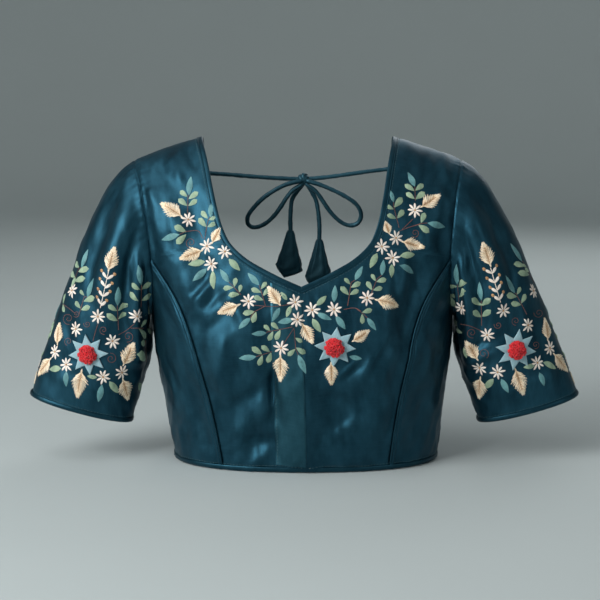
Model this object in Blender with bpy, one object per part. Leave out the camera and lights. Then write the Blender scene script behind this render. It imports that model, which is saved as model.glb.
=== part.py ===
"""Silk blouse with princess seams, elbow sleeves and a deep back closed by a tied cord.

Every panel is a cloth wall that keeps the hollow form of a filled-out blouse. The trunk is a stack of
rounded sections from hem to shoulder, and each sleeve is a tube from the armhole curve to the cuff.
Tables are in millimetres. x runs across with the wearer's left at +x, the front faces -y, z is up.
"""

import math
from typing import NamedTuple

import bmesh
import bpy
import numpy as np
from mathutils import Matrix, Vector
from mathutils.bvhtree import BVHTree

MM = 0.001
WALL = 1.5  # thickness of the lined silk
SEAM_INSET = 0.2  # each panel's edge stands this far back from its seam line
LIFT = 0.4  # gap under a piece that lies on a panel
HEM_LEAN = 4.5  # sideways place of the centre line at the hem
SHOULDER_LEAN = -4.5  # and at the shoulders
SHOULDER_HEIGHT = 340.0
CENTRE = (-2.6, 15.7)  # moves the blouse so that its bounding box is centred on the origin
UNDERARM_HEIGHT = 162.0
SECTION_POWER = 2.3  # 2 is an ellipse, more is squarer
SHOULDER_ROLL = 100.0  # height over which the trunk rounds over to the shoulder seam
HEM_ROWS = 14  # rows from the hem to the underarm
FRONT_ARM_ROWS = 10  # rows from the princess seam's top to the shoulder
SIDE_ARM_COLUMNS = 6  # columns of the side panel along the armhole
PANEL_COLUMNS = 9
BACK_COLUMNS = PANEL_COLUMNS + SIDE_ARM_COLUMNS
NECK_COLUMN = 5  # the column of a front or back panel that the strap's neck edge starts from
SLEEVE_ROWS = 13
SLEEVE_TURN = 2 * (FRONT_ARM_ROWS + SIDE_ARM_COLUMNS)  # points round a sleeve
SLEEVE_POWER = 2.15
CAP_SHARE = 0.45  # share of the sleeve over which the armhole's own curve fades out


class Section(NamedTuple):
    """A level section of the trunk."""

    height: float
    half_width: float
    front: float
    back: float


SECTIONS = [
    Section(0, 146.5, 97, 90),
    Section(30, 151.5, 102, 91),
    Section(60, 155.5, 108, 92),
    Section(100, 161.5, 114, 94),
    Section(135, 166.0, 117, 96),
    Section(162, 168.0, 117, 98),
    Section(200, 175.0, 112, 100),
    Section(232, 185.0, 103, 100),
    Section(270, 204.0, 92, 97),
    Section(304, 228.0, 84, 92),
    Section(335, 245.0, 78, 88),
    Section(362, 250.0, 76, 86),
]


class Edge(NamedTuple):
    """A place on an outline seen from the front."""

    height: float
    across: float


SHOULDER_LINE = [Edge(365, 60), Edge(359, 107), Edge(348, 145.5), Edge(334, 182), Edge(322, 205)]
NECK_FRONT = [
    Edge(204.5, 0),
    Edge(214, 22),
    Edge(223.5, 41),
    Edge(231, 54.5),
    Edge(240, 66.5),
    Edge(252, 77.5),
    Edge(272, 86),
    Edge(291, 90.8),
    Edge(311, 95),
    Edge(326, 98),
    Edge(343, 102),
    Edge(359, 107),
]
NECK_BACK = [
    Edge(140, 0),
    Edge(141.5, 22),
    Edge(147, 46),
    Edge(161, 72),
    Edge(185, 91),
    Edge(220, 101),
    Edge(260, 106),
    Edge(300, 108),
    Edge(335, 108),
    Edge(359, 107),
]
ARMHOLE = [
    Edge(162, 168),
    Edge(170, 166.2),
    Edge(185, 164.2),
    Edge(204, 163.2),
    Edge(230, 164),
    Edge(270, 168),
    Edge(304, 173.5),
    Edge(334, 182),
]
BACK_CORNER = 94.0  # x where the back's straps start on its neckline
PRINCESS = [
    Edge(0, 90.5),
    Edge(32, 95),
    Edge(69, 101),
    Edge(108, 108.5),
    Edge(151, 119.8),
    Edge(183, 132.5),
    Edge(209, 148.5),
    Edge(230, 164),
]


class SleeveStation(NamedTuple):
    """A ring of the sleeve: its place along the sleeve, its outer and inner edge seen from the front, and its half depth."""

    share: float
    outer_x: float
    outer_z: float
    inner_x: float
    inner_z: float
    half_depth: float
    middle_y: float


SLEEVE = [
    SleeveStation(0.0, 182.0, 334.0, 168.0, 162.0, 55.0, 0.0),
    SleeveStation(0.052, 194.5, 325.5, 173.2, 161.0, 56.5, 0.0),
    SleeveStation(0.116, 208.0, 311.0, 173.4, 153.5, 57.5, 0.0),
    SleeveStation(0.185, 219.5, 293.5, 172.6, 146.0, 57.5, -0.3),
    SleeveStation(0.26, 230.0, 274.0, 171.9, 138.5, 57.5, -0.7),
    SleeveStation(0.34, 239.5, 253.5, 171.6, 130.5, 56.5, -1.2),
    SleeveStation(0.42, 248.5, 232.5, 172.0, 121.5, 55.0, -1.6),
    SleeveStation(0.517, 258.8, 204.5, 174.6, 109.5, 52.5, -2.0),
    SleeveStation(0.675, 275.8, 161.0, 181.6, 89.0, 47.5, -3.0),
    SleeveStation(0.836, 292.6, 116.0, 190.0, 65.5, 42.0, -3.5),
    SleeveStation(1.0, 308.5, 70.0, 198.6, 40.0, 36.0, -4.0),
]
SLEEVE_LENGTH = 298.0
SLEEVE_ROUND = 330.0


class Fold(NamedTuple):
    """A soft ridge (rise above 0) or trough in the cloth, along a line from one place to another.

    On the trunk a place is x and z seen from the front. On a sleeve it is the distance round from the
    front's middle, towards the outer edge, and the distance down from the armhole.
    """

    from_across: float
    from_along: float
    to_across: float
    to_along: float
    half_width: float
    rise: float


FRONT_FOLDS = [
    Fold(-150, 305, -128, 232, 11, 4.4),
    Fold(-128, 318, -106, 250, 13, -3.9),
    Fold(-143, 240, -104, 176, 12, 3.9),
    Fold(-112, 238, -84, 182, 10, -3.4),
    Fold(-84, 205, -48, 150, 12, 3.1),
    Fold(-36, 118, -34, 62, 8, -3.9),
    Fold(-76, 88, -52, 22, 13, -4.2),
    Fold(-92, 118, -66, 64, 12, 3.6),
    Fold(-124, 96, -112, 26, 13, -3.9),
    Fold(-16, 110, -12, 20, 12, 2.9),
    Fold(150, 306, 132, 236, 11, 3.9),
    Fold(124, 322, 112, 246, 14, -3.6),
    Fold(128, 222, 108, 140, 12, -3.9),
    Fold(84, 214, 88, 150, 12, 3.4),
    Fold(62, 96, 30, 54, 12, -3.1),
    Fold(78, 128, 44, 74, 12, 3.4),
    Fold(128, 88, 118, 20, 13, -3.9),
    Fold(26, 60, 62, 14, 13, 2.9),
]
SLEEVE_FOLDS = [
    Fold(-18, 34, -44, 176, 13, 6.8),
    Fold(2, 26, -24, 150, 11, -5.9),
    Fold(26, 22, 8, 132, 13, 5.9),
    Fold(50, 28, 40, 118, 12, -3.8),
    Fold(-58, 60, -72, 190, 12, -4.9),
    Fold(34, 190, 52, 262, 15, -3.0),
    Fold(-20, 200, -10, 270, 16, 3.0),
    Fold(118, 40, 128, 170, 14, -4.9),
    Fold(144, 36, 156, 160, 13, 5.1),
    Fold(-126, 48, -142, 168, 14, -4.6),
]
BUST_ACROSS, BUST_HEIGHT, BUST_SPREAD, BUST_RISE = 72.0, 146.0, 48.0, 6.5

TRIM_THICKNESS = 1.0
NECK_TRIM_WIDTH = 5.0
NECK_TRIM_LIFT = 0.7  # a little more than elsewhere, where the edge turns its corner
HEM_TRIM_WIDTH = 5.5
HEM_TRIM_FOOT = 0.5  # the trim ends this far above the hem, which takes the weight
PIPING_RADIUS = 1.1
PLACKET_COLUMNS = 3
PLACKET_STEP = 11.0  # width of each of its columns
PLACKET_ENDS = (0.55, 13.4)  # its lowest and highest row on the panel

STAR_POINTS = 8
STAR_LIFT = 1.2  # its straight facets need more room than a strip does
STAR_TIP, STAR_NOTCH, STAR_THICKNESS = 21.0, 13.2, 1.2
POMPOM_RADIUS, POMPOM_HEIGHT = 10.5, 8.0


class Star(NamedTuple):
    """A felt star: which panel carries it, its centre seen from the front, and its turn."""

    where: str
    panel: str
    across: float
    height: float
    turn: float


STARS = [
    Star("front", "front_left", 35.0, 141.0, 10.0),
    Star("sleeve_right", "sleeve_right", -240.5, 122.5, 8.0),
    Star("sleeve_left", "sleeve_left", 239.0, 126.5, -6.0),
]

CORD_RADIUS = 2.6
CORD_STEP = 9.0
TIE_FOOT = {"tie_right": (-112.5, 315.6), "tie_left": (112.5, 321.0)}  # x and z of a tie's sewn end on the back
KNOT_AT = (6.0, 74.0, 308.0)
KNOT_SIZE = (12.5, 13.0, 12.5)
ROUTES = {
    "tie_right": [(-104, 76.2, 315.3), (-80, 75.4, 313.6), (-52, 74.2, 311.4), (-24, 74.0, 309.6), (-0.7, 74.0, 308.6)],
    "tie_left": [(105, 76.2, 320.3), (82, 75.4, 317.4), (56, 74.2, 313.8), (32, 74.0, 310.6), (12.7, 74.0, 308.9)],
    "bow_loop_right": [
        (0.3, 68.4, 306.4),
        (-14.5, 66.5, 302.8),
        (-29.5, 65.0, 295.5),
        (-42.5, 64.5, 286.5),
        (-53.5, 65.0, 275.5),
        (-60.0, 66.5, 266.0),
        (-60.5, 69.5, 257.5),
        (-55.5, 72.0, 253.0),
        (-47.5, 73.5, 253.5),
        (-38.0, 73.5, 258.5),
        (-29.0, 72.5, 267.0),
        (-21.5, 71.5, 277.0),
        (-14.5, 71.0, 287.5),
        (-7.0, 70.8, 296.0),
        (2.2, 71.0, 301.9),
    ],
    "bow_loop_left": [
        (11.7, 68.4, 306.2),
        (24.5, 66.5, 302.5),
        (38.0, 65.0, 297.0),
        (51.0, 64.5, 290.5),
        (62.5, 65.0, 283.0),
        (69.0, 66.5, 275.0),
        (71.0, 69.0, 266.0),
        (67.5, 71.5, 258.0),
        (60.0, 73.0, 254.8),
        (51.5, 73.5, 256.5),
        (43.0, 73.0, 262.5),
        (34.5, 72.5, 272.0),
        (27.0, 71.5, 283.5),
        (19.5, 70.8, 294.5),
        (10.1, 71.0, 301.8),
    ],
    "tie_tail_right": [
        (3.7, 76.9, 301.6),
        (-2.4, 78.0, 294.0),
        (-8.4, 78.5, 284.5),
        (-10.4, 78.0, 272.0),
        (-11.2, 77.5, 259.5),
        (-11.2, 77.0, 249.5),
    ],
    "tie_tail_left": [
        (9.3, 76.9, 302.5),
        (14.6, 78.0, 293.6),
        (19.2, 78.5, 283.5),
        (21.4, 78.0, 271.0),
        (22.4, 77.5, 258.0),
        (22.4, 77.0, 247.0),
        (22.0, 77.0, 239.0),
    ],
}


class Tassel(NamedTuple):
    """A stuffed cloth tassel: its top, its height, its lean in degrees and its widths."""

    name: str
    top: tuple
    height: float
    lean: float
    half_width: float
    half_depth: float


TASSELS = [
    Tassel("tassel_right", (-11.2, 77.0, 248.6), 56.0, -4.0, 15.5, 9.0),
    Tassel("tassel_left", (22.0, 77.0, 238.1), 55.0, 5.0, 15.0, 9.0),
]
TASSEL_RINGS = [(0.0, 0.22), (0.06, 0.30), (0.25, 0.46), (0.5, 0.70), (0.75, 0.93), (0.9, 1.0), (1.0, 0.92)]
TASSEL_SIDES = 14
TASSEL_SLANT = 6.0  # one bottom corner hangs this much higher

SILK_COLOUR = (0.016, 0.075, 0.110, 1.0)
SILK_ROUGHNESS = 0.38
FELT_COLOUR = (0.33, 0.52, 0.56, 1.0)
WOOL_COLOUR = (0.62, 0.01, 0.02, 1.0)
SOFT_ROUGHNESS = 0.9


def smooth_curve(places, values):
    """A function through the values, with no overshoot past a flat run."""
    x = np.asarray(places, float)
    y = np.asarray(values, float)
    step = np.diff(x)
    rise = np.diff(y) / step
    slope = np.concatenate([rise[:1], np.zeros(len(x) - 2), rise[-1:]])
    for i in range(1, len(x) - 1):
        if rise[i - 1] * rise[i] > 0:
            a = 2 * step[i] + step[i - 1]
            b = step[i] + 2 * step[i - 1]
            slope[i] = (a + b) / (a / rise[i - 1] + b / rise[i])

    def value(at):
        at = np.clip(at, x[0], x[-1])
        i = np.clip(np.searchsorted(x, at, side="right") - 1, 0, len(step) - 1)
        t = (at - x[i]) / step[i]
        h00 = (1 + 2 * t) * (1 - t) ** 2
        h10 = t * (1 - t) ** 2
        h01 = t * t * (3 - 2 * t)
        h11 = t * t * (t - 1)
        return h00 * y[i] + h10 * step[i] * slope[i] + h01 * y[i + 1] + h11 * step[i] * slope[i + 1]

    return value


def column(rows, name):
    return [getattr(row, name) for row in rows]


half_width_at = smooth_curve(column(SECTIONS, "height"), column(SECTIONS, "half_width"))
front_at = smooth_curve(column(SECTIONS, "height"), column(SECTIONS, "front"))
back_at = smooth_curve(column(SECTIONS, "height"), column(SECTIONS, "back"))
shoulder_at = smooth_curve(column(SHOULDER_LINE, "across"), column(SHOULDER_LINE, "height"))
armhole_at = smooth_curve(column(ARMHOLE, "height"), column(ARMHOLE, "across"))
princess_at = smooth_curve(column(PRINCESS, "height"), column(PRINCESS, "across"))
neck_front_at = smooth_curve(column(NECK_FRONT, "across"), column(NECK_FRONT, "height"))


def smoothstep(t):
    t = np.clip(t, 0.0, 1.0)
    return t * t * (3 - 2 * t)


def fold_rise(folds, across, along):
    """The height that the folds give to a place on the cloth's pattern."""
    total = 0.0
    for fold in folds:
        start = np.array([fold.from_across, fold.from_along])
        run = np.array([fold.to_across, fold.to_along]) - start
        offset = np.array([across, along]) - start
        share = float(offset @ run / (run @ run))
        away = np.linalg.norm(offset - np.clip(share, 0, 1) * run)
        fade = smoothstep((share + 0.35) / 0.6) * smoothstep((1.35 - share) / 0.6)
        total += fold.rise * math.exp(-((away / fold.half_width) ** 2)) * float(fade)
    return total


def angle_of(across, height):
    """The turn round a section, 0 at the centre line and 90 degrees at the side seam."""
    share = min(abs(across) / float(half_width_at(height)), 1.0)
    return math.asin(share ** (SECTION_POWER / 2))


def trunk_point(side, facing, angle, height):
    """A point of the trunk's inner face: side is the sign of x, facing is -1 for the front and 1 for the back."""
    across = float(half_width_at(height)) * math.sin(angle) ** (2 / SECTION_POWER)
    depth = float(front_at(height) if facing < 0 else back_at(height))
    depth *= max(math.cos(angle), 0.0) ** (2 / SECTION_POWER)
    below = np.clip((float(shoulder_at(across)) - height) / SHOULDER_ROLL, 0.0, 1.0)
    roll = math.sqrt(max(1 - (1 - below) ** 2, 0.0))
    depth *= roll
    rise = 0.0
    if facing < 0:
        keep = float(smoothstep(below / 0.3)) * float(smoothstep((math.pi / 2 - angle) / 0.45))
        bust = ((across - BUST_ACROSS) ** 2 + (height - BUST_HEIGHT) ** 2) / BUST_SPREAD**2
        rise = keep * (fold_rise(FRONT_FOLDS, side * across, height) + BUST_RISE * math.exp(-bust))
    out = np.array([math.sin(angle), math.cos(angle)])
    return np.array([side * (across + rise * out[0]), facing * (depth + rise * out[1]), height])


def even_places(curve, count, fine=400):
    """Parameters from 0 to 1 that cut a curve into stretches of equal length."""
    at = np.linspace(0, 1, fine + 1)
    points = np.array([curve(t) for t in at])
    along = np.concatenate([[0], np.cumsum(np.linalg.norm(np.diff(points, axis=0), axis=1))])
    return np.interp(np.linspace(0, along[-1], count + 1), along, at)


def outline_places(rows, facing, count, start):
    """Places (angle, height) at equal steps up a neckline from the place whose x is start."""
    share = np.linspace(0, 1, len(rows))
    across = smooth_curve(share, column(rows, "across"))
    height = smooth_curve(share, column(rows, "height"))
    first = float(np.interp(start, [row.across for row in rows[:-2]], share[:-2]))
    for _ in range(20):
        first += (start - float(across(first))) / 400.0

    def place(t):
        t = first + (1 - first) * t
        z = float(height(t))
        return angle_of(float(across(t)), z), z

    even = even_places(lambda t: trunk_point(1, facing, *place(t)), count)
    return [place(t) for t in even]


def armhole_places(facing, low, high, count):
    """Places at equal steps along the armhole between two heights, bottom to top."""

    def place(t):
        z = high - (high - low) * (1 - t)
        return angle_of(float(armhole_at(z)), z), z

    even = even_places(lambda t: trunk_point(1, facing, *place(t)), count, fine=1600)
    return [place(t) for t in even]


def across_of(place):
    return float(half_width_at(place[1])) * math.sin(place[0]) ** (2 / SECTION_POWER)


def strap_points(neck, arm, facing, side):
    """Points of a strap by row and column, from its neck edge to the armhole, arched up to the shoulder line."""
    points = {}
    columns = PANEL_COLUMNS - NECK_COLUMN
    for j, (start, end) in enumerate(zip(neck, arm, strict=True)):
        arch = j / (len(neck) - 1)
        tops = [float(shoulder_at(across_of(place))) for place in (start, end)]
        for i in range(columns + 1):
            t = i / columns
            angle = start[0] + (end[0] - start[0]) * t
            height = start[1] + (end[1] - start[1]) * t
            lift = float(shoulder_at(across_of((angle, height)))) - tops[0] - (tops[1] - tops[0]) * t
            point = trunk_point(side, facing, angle, height + arch * lift)
            points[HEM_ROWS + j, NECK_COLUMN + i] = point
    return points


PRINCESS_TOP = PRINCESS[-1].height


def front_points(side):
    """The centre front. Its first columns are as wide as the placket all the way up."""
    fixed = PLACKET_COLUMNS * PLACKET_STEP
    loose = PANEL_COLUMNS - PLACKET_COLUMNS

    def across(i, edge):
        return i * PLACKET_STEP if i <= PLACKET_COLUMNS else fixed + (edge - fixed) * (i - PLACKET_COLUMNS) / loose

    corner = across(NECK_COLUMN, PRINCESS[-1].across)
    neck = outline_places(NECK_FRONT, -1, FRONT_ARM_ROWS, corner)
    arm = armhole_places(-1, PRINCESS_TOP, ARMHOLE[-1].height, FRONT_ARM_ROWS)
    points = strap_points(neck, arm, -1, side)
    for i in range(PANEL_COLUMNS + 1):
        x = across(i, PRINCESS[-1].across)
        share = (x - corner) / (PRINCESS[-1].across - corner)
        top = float(neck_front_at(x)) if i < NECK_COLUMN else neck[0][1] + (PRINCESS_TOP - neck[0][1]) * share
        for j in range(HEM_ROWS + (i < NECK_COLUMN)):
            z = top * j / HEM_ROWS
            edge = float(princess_at(PRINCESS_TOP * j / HEM_ROWS))
            if i == PANEL_COLUMNS:
                z = PRINCESS_TOP * j / HEM_ROWS
            points[j, i] = trunk_point(side, -1, angle_of(across(i, edge), z), z)
    return points


def side_points(side):
    """The side front from the princess seam to the side seam, with the lower armhole as its top."""
    low = armhole_places(-1, UNDERARM_HEIGHT, PRINCESS_TOP, SIDE_ARM_COLUMNS)[::-1]
    points = {}
    for i, top in enumerate(low):
        t = i / SIDE_ARM_COLUMNS
        evened = low[0][0] + (math.pi / 2 - low[0][0]) * t
        for j in range(HEM_ROWS + 1):
            rise = j / HEM_ROWS
            seam = PRINCESS_TOP * rise
            start = angle_of(float(princess_at(seam)), seam)
            blend = float(smoothstep((rise - 0.4) / 0.6))
            angle = start + (math.pi / 2 - start) * t + (top[0] - evened) * blend
            points[j, i] = trunk_point(side, -1, angle, top[1] * rise)
    return points


def back_points(side):
    """Half of the back, with the neckline, the strap's foot and the lower armhole as its lower part's top."""
    neck_at = smooth_curve(column(NECK_BACK[:7], "across"), column(NECK_BACK[:7], "height"))
    neck = outline_places(NECK_BACK, 1, FRONT_ARM_ROWS, BACK_CORNER)
    arm = armhole_places(1, PRINCESS_TOP, ARMHOLE[-1].height, FRONT_ARM_ROWS)
    low = armhole_places(1, UNDERARM_HEIGHT, PRINCESS_TOP, SIDE_ARM_COLUMNS)[::-1]
    points = strap_points(neck, arm, 1, side)
    straps = PANEL_COLUMNS - NECK_COLUMN
    for i in range(BACK_COLUMNS + 1):
        if i < NECK_COLUMN:
            x = BACK_CORNER * i / NECK_COLUMN
            top = (angle_of(x, float(neck_at(x))), float(neck_at(x)))
        elif i <= PANEL_COLUMNS:
            share = (i - NECK_COLUMN) / straps
            top = tuple(a + (b - a) * share for a, b in zip(neck[0], arm[0], strict=True))
        else:
            top = low[i - PANEL_COLUMNS]
        for j in range(HEM_ROWS + (not NECK_COLUMN <= i <= PANEL_COLUMNS)):
            rise = j / HEM_ROWS
            even = math.pi / 2 * i / BACK_COLUMNS
            angle = even + (top[0] - even) * float(smoothstep(rise))
            points[j, i] = trunk_point(side, 1, angle, top[1] * rise)
    return points


def armhole_ring(side):
    """The armhole's points from the shoulder tip round the front to the underarm and up the back."""
    ring = []
    for facing in (-1, 1):
        high = armhole_places(facing, PRINCESS_TOP, ARMHOLE[-1].height, FRONT_ARM_ROWS)
        low = armhole_places(facing, UNDERARM_HEIGHT, PRINCESS_TOP, SIDE_ARM_COLUMNS)
        places = low + high[1:]
        if facing < 0:
            ring += [trunk_point(side, facing, *place) for place in places[::-1]]
        else:
            ring += [trunk_point(side, facing, *place) for place in places[1:-1]]
    return np.array(ring)


def sleeve_ring(share, side):
    """A ring of the sleeve's inner face, before the armhole's own curve and the folds."""
    shares = column(SLEEVE, "share")
    row = {name: float(smooth_curve(shares, column(SLEEVE, name))(share)) for name in SleeveStation._fields[1:]}
    outer = np.array([row["outer_x"], row["outer_z"]])
    inner = np.array([row["inner_x"], row["inner_z"]])
    middle = (outer + inner) / 2
    reach = (outer - inner) / 2
    ring = []
    for i in range(SLEEVE_TURN):
        turn = 2 * math.pi * i / SLEEVE_TURN
        c, s = math.cos(turn), math.sin(turn)
        along = math.copysign(abs(c) ** (2 / SLEEVE_POWER), c)
        deep = math.copysign(abs(s) ** (2 / SLEEVE_POWER), s)
        x, z = middle + reach * along
        ring.append([side * x, row["middle_y"] - row["half_depth"] * deep, z])
    return np.array(ring)


def sleeve_points(side):
    """The sleeve as rings from the armhole to the cuff."""
    armhole = armhole_ring(side)
    own_curve = armhole - sleeve_ring(0.0, side)
    rows = []
    for j in range(SLEEVE_ROWS + 1):
        share = (j / SLEEVE_ROWS) ** 1.15
        ring = sleeve_ring(share, side)
        ring += own_curve * (1 - float(smoothstep(share / CAP_SHARE)))
        middle = ring.mean(axis=0)
        keep = float(smoothstep(share / 0.12) * smoothstep((1 - share) / 0.08))
        for i in range(SLEEVE_TURN):
            turn = i / SLEEVE_TURN
            across = (0.25 - turn) * SLEEVE_ROUND
            if across < -SLEEVE_ROUND / 2:
                across += SLEEVE_ROUND
            rise = keep * fold_rise(SLEEVE_FOLDS, across, share * SLEEVE_LENGTH)
            out = ring[i] - middle
            ring[i] = ring[i] + out / np.linalg.norm(out) * rise
        rows.append(ring)
    return {(j, i): point for j, ring in enumerate(rows) for i, point in enumerate(ring)}


def leaned(points):
    """Shifts points sideways so that the blouse leans as it stands."""
    points = np.array(points, float)
    points[..., 0] += CENTRE[0] + HEM_LEAN + (SHOULDER_LEAN - HEM_LEAN) * points[..., 2] / SHOULDER_HEIGHT
    points[..., 1] += CENTRE[1]
    return points


def key(point):
    return tuple(np.round(point, 2))


def unit(vector):
    return vector / max(float(np.linalg.norm(vector)), 1e-9)


class Panel:
    """A piece of cloth as points by row and column, with cells between them. Round ones close on themselves."""

    def __init__(self, points, turned=False, turns=0):
        self.points = points
        self.turned = turned
        self.turns = turns
        self.cells = [place for place in points if all(corner in points for corner in self.corners(place))]
        self.filled = set(self.cells)
        self.normals = {}

    def place(self, row, col):
        return (row, col % self.turns) if self.turns else (row, col)

    def corners(self, place):
        row, col = place
        around = [self.place(row, col), self.place(row, col + 1), self.place(row + 1, col + 1)]
        around.append(self.place(row + 1, col))
        return around[:1] + around[:0:-1] if self.turned else around

    def add_normals(self, found):
        for cell in self.cells:
            a, b, c, d = (self.points[corner] for corner in self.corners(cell))
            normal = np.cross(c - a, d - b)
            for corner in (a, b, c, d):
                found[key(corner)] = found.get(key(corner), np.zeros(3)) + normal

    def towards(self, place, down, right):
        """The unit direction from a point to its neighbour."""
        row, col = place
        other = self.place(row - down, col + right)
        return unit(self.points[other] - self.points[place])

    def inward(self, place):
        """The way into the cloth from a point on its edge, or nothing at the hem and inside."""
        row, col = place
        left, right = (self.place(row, col - 1), self.place(row, col))
        below_left, below_right = (self.place(row - 1, col - 1), self.place(row - 1, col))
        has = [cell in self.filled for cell in (left, right, below_left, below_right)]
        way = np.zeros(3)
        if has.count(False) == 1 and not has[0]:
            return self.towards(place, 1, 0) + self.towards(place, 0, 1)
        if has.count(False) == 1 and not has[1]:
            return self.towards(place, 1, 0) + self.towards(place, 0, -1)
        if not has[0] and not has[1]:
            way += self.towards(place, 1, 0)
        if not has[0] and not has[2]:
            way += self.towards(place, 0, 1)
        if not has[1] and not has[3]:
            way += self.towards(place, 0, -1)
        if self.turns and row == 0:
            way += self.towards(place, -1, 0)
        return way

    def layer(self, place, up=0.0):
        """A point of the cloth, set back from the seams and moved out by up."""
        point = self.points[place] + self.inward(place) * SEAM_INSET
        if place[0] == 0 and not self.turns:
            point[2] = 0.0
        return point + self.normals[place] * up

    def at(self, row, col, up):
        """A point at a fraction of a row, moved out by up."""
        low = int(min(math.floor(row), max(r for r, c in self.points if c == col) - 1))
        share = row - low
        ends = [self.points[r, col] + self.normals[r, col] * up for r in (low, low + 1)]
        return ends[0] * (1 - share) + ends[1] * share

    def slab(self, name, low, high):
        """A closed sheet between two layers of points by place. Every cell is halved along the same diagonal."""
        places = list(self.points)
        index = {place: n for n, place in enumerate(places)}
        count = len(places)
        faces, rims = [], {}
        for cell in self.cells:
            a, b, c, d = (index[corner] for corner in self.corners(cell))
            faces += [(a, c, b), (a, d, c)]
            faces += [(a + count, b + count, c + count), (a + count, c + count, d + count)]
            for start, end in ((a, b), (b, c), (c, d), (d, a)):
                rims.setdefault(frozenset((start, end)), []).append((start, end, end + count, start + count))
        faces += [found[0] for found in rims.values() if len(found) == 1]
        return mesh_of(name, [low[place] for place in places] + [high[place] for place in places], faces)

    def mesh(self, name):
        """The cloth wall."""
        low = {place: self.layer(place) for place in self.points}
        high = {place: self.layer(place, WALL) for place in self.points}
        return self.slab(name, low, high)


def new_object(name, mesh, material, collection, parent):
    obj = bpy.data.objects.new(name, mesh)
    collection.objects.link(obj)
    obj.parent = parent
    if material is not None:
        obj.data.materials.append(material)
    return obj


def mesh_of(name, points, faces, sharp=50.0):
    """A mesh from points in millimetres and faces, with its faces turned outwards."""
    mesh = bpy.data.meshes.new(name)
    mesh.from_pydata([tuple(p * MM) for p in leaned(points)], [], faces)
    work = bmesh.new()
    work.from_mesh(mesh)
    bmesh.ops.recalc_face_normals(work, faces=work.faces)
    work.to_mesh(mesh)
    work.free()
    mesh.shade_smooth()
    mesh.set_sharp_from_angle(angle=math.radians(sharp))
    return mesh


def swept(name, rings, closed=False):
    """A solid through rings of the same number of points, capped unless it runs round."""
    rings = np.array(rings)
    count, sides = rings.shape[:2]
    faces = []
    for j in range(count if closed else count - 1):
        for i in range(sides):
            a, b = j * sides + i, j * sides + (i + 1) % sides
            c = ((j + 1) % count) * sides
            faces.append((a, b, c + (i + 1) % sides, c + i))
    if not closed:
        faces += [tuple(range(sides)), tuple(range((count - 1) * sides, count * sides))]
    return mesh_of(name, rings.reshape(-1, 3), faces)


def edge_strip(edge, inward, normal, low, high, lift=LIFT, wrap=0.0):
    """Rings of a flat trim on the outer face along an edge, from low to high millimetres in from it.

    With wrap it also turns over the edge, as a binding does, by that much below the outer face.
    """
    base, top = WALL + lift, WALL + lift + TRIM_THICKNESS
    if wrap:
        corners = [(high, base), (high, top), (low - TRIM_THICKNESS, top)]
        corners += [(low - TRIM_THICKNESS, base - wrap), (low, base - wrap), (low, base)]
    else:
        corners = [(low, base), (high, base), (high, top), (low, top)]
    return [[e + d * across + n * up for across, up in corners] for e, d, n in zip(edge, inward, normal, strict=True)]


def tube(name, points, radius, detail, material, collection, parent):
    """A round cord along points, as a curve with a bevel and filled caps."""
    curve = bpy.data.curves.new(name, "CURVE")
    curve.dimensions = "3D"
    curve.bevel_depth = radius * MM
    curve.bevel_resolution = detail
    curve.use_fill_caps = True
    spline = curve.splines.new("POLY")
    spline.points.add(len(points) - 1)
    for target, point in zip(spline.points, leaned(points), strict=True):
        target.co = (*(point * MM), 1.0)
    curve.materials.append(material)
    obj = bpy.data.objects.new(name, curve)
    collection.objects.link(obj)
    obj.parent = parent
    return obj


def route_points(route):
    """Points at about even steps on a smooth curve through a cord's route."""
    route = np.array(route, float)
    along = np.concatenate([[0], np.cumsum(np.linalg.norm(np.diff(route, axis=0), axis=1))])
    padded = np.vstack([2 * route[0] - route[1], route, 2 * route[-1] - route[-2]])
    count = max(3, round(along[-1] / CORD_STEP))
    points = []
    for at in np.linspace(0, along[-1], count + 1):
        i = min(int(np.searchsorted(along, at, side="right")) - 1, len(route) - 2)
        t = (at - along[i]) / (along[i + 1] - along[i])
        a, b, c, d = padded[i : i + 4]
        points.append(0.5 * (2 * b + (c - a) * t + (2 * a - 5 * b + 4 * c - d) * t**2 + (3 * b - a - 3 * c + d) * t**3))
    return np.array(points)


def finish_material(name, colour, roughness):
    material = bpy.data.materials.new(name)
    material.use_nodes = True
    shader = material.node_tree.nodes["Principled BSDF"]
    shader.inputs["Base Color"].default_value = colour
    shader.inputs["Roughness"].default_value = roughness
    shader.inputs["Metallic"].default_value = 0.0
    return material


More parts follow.
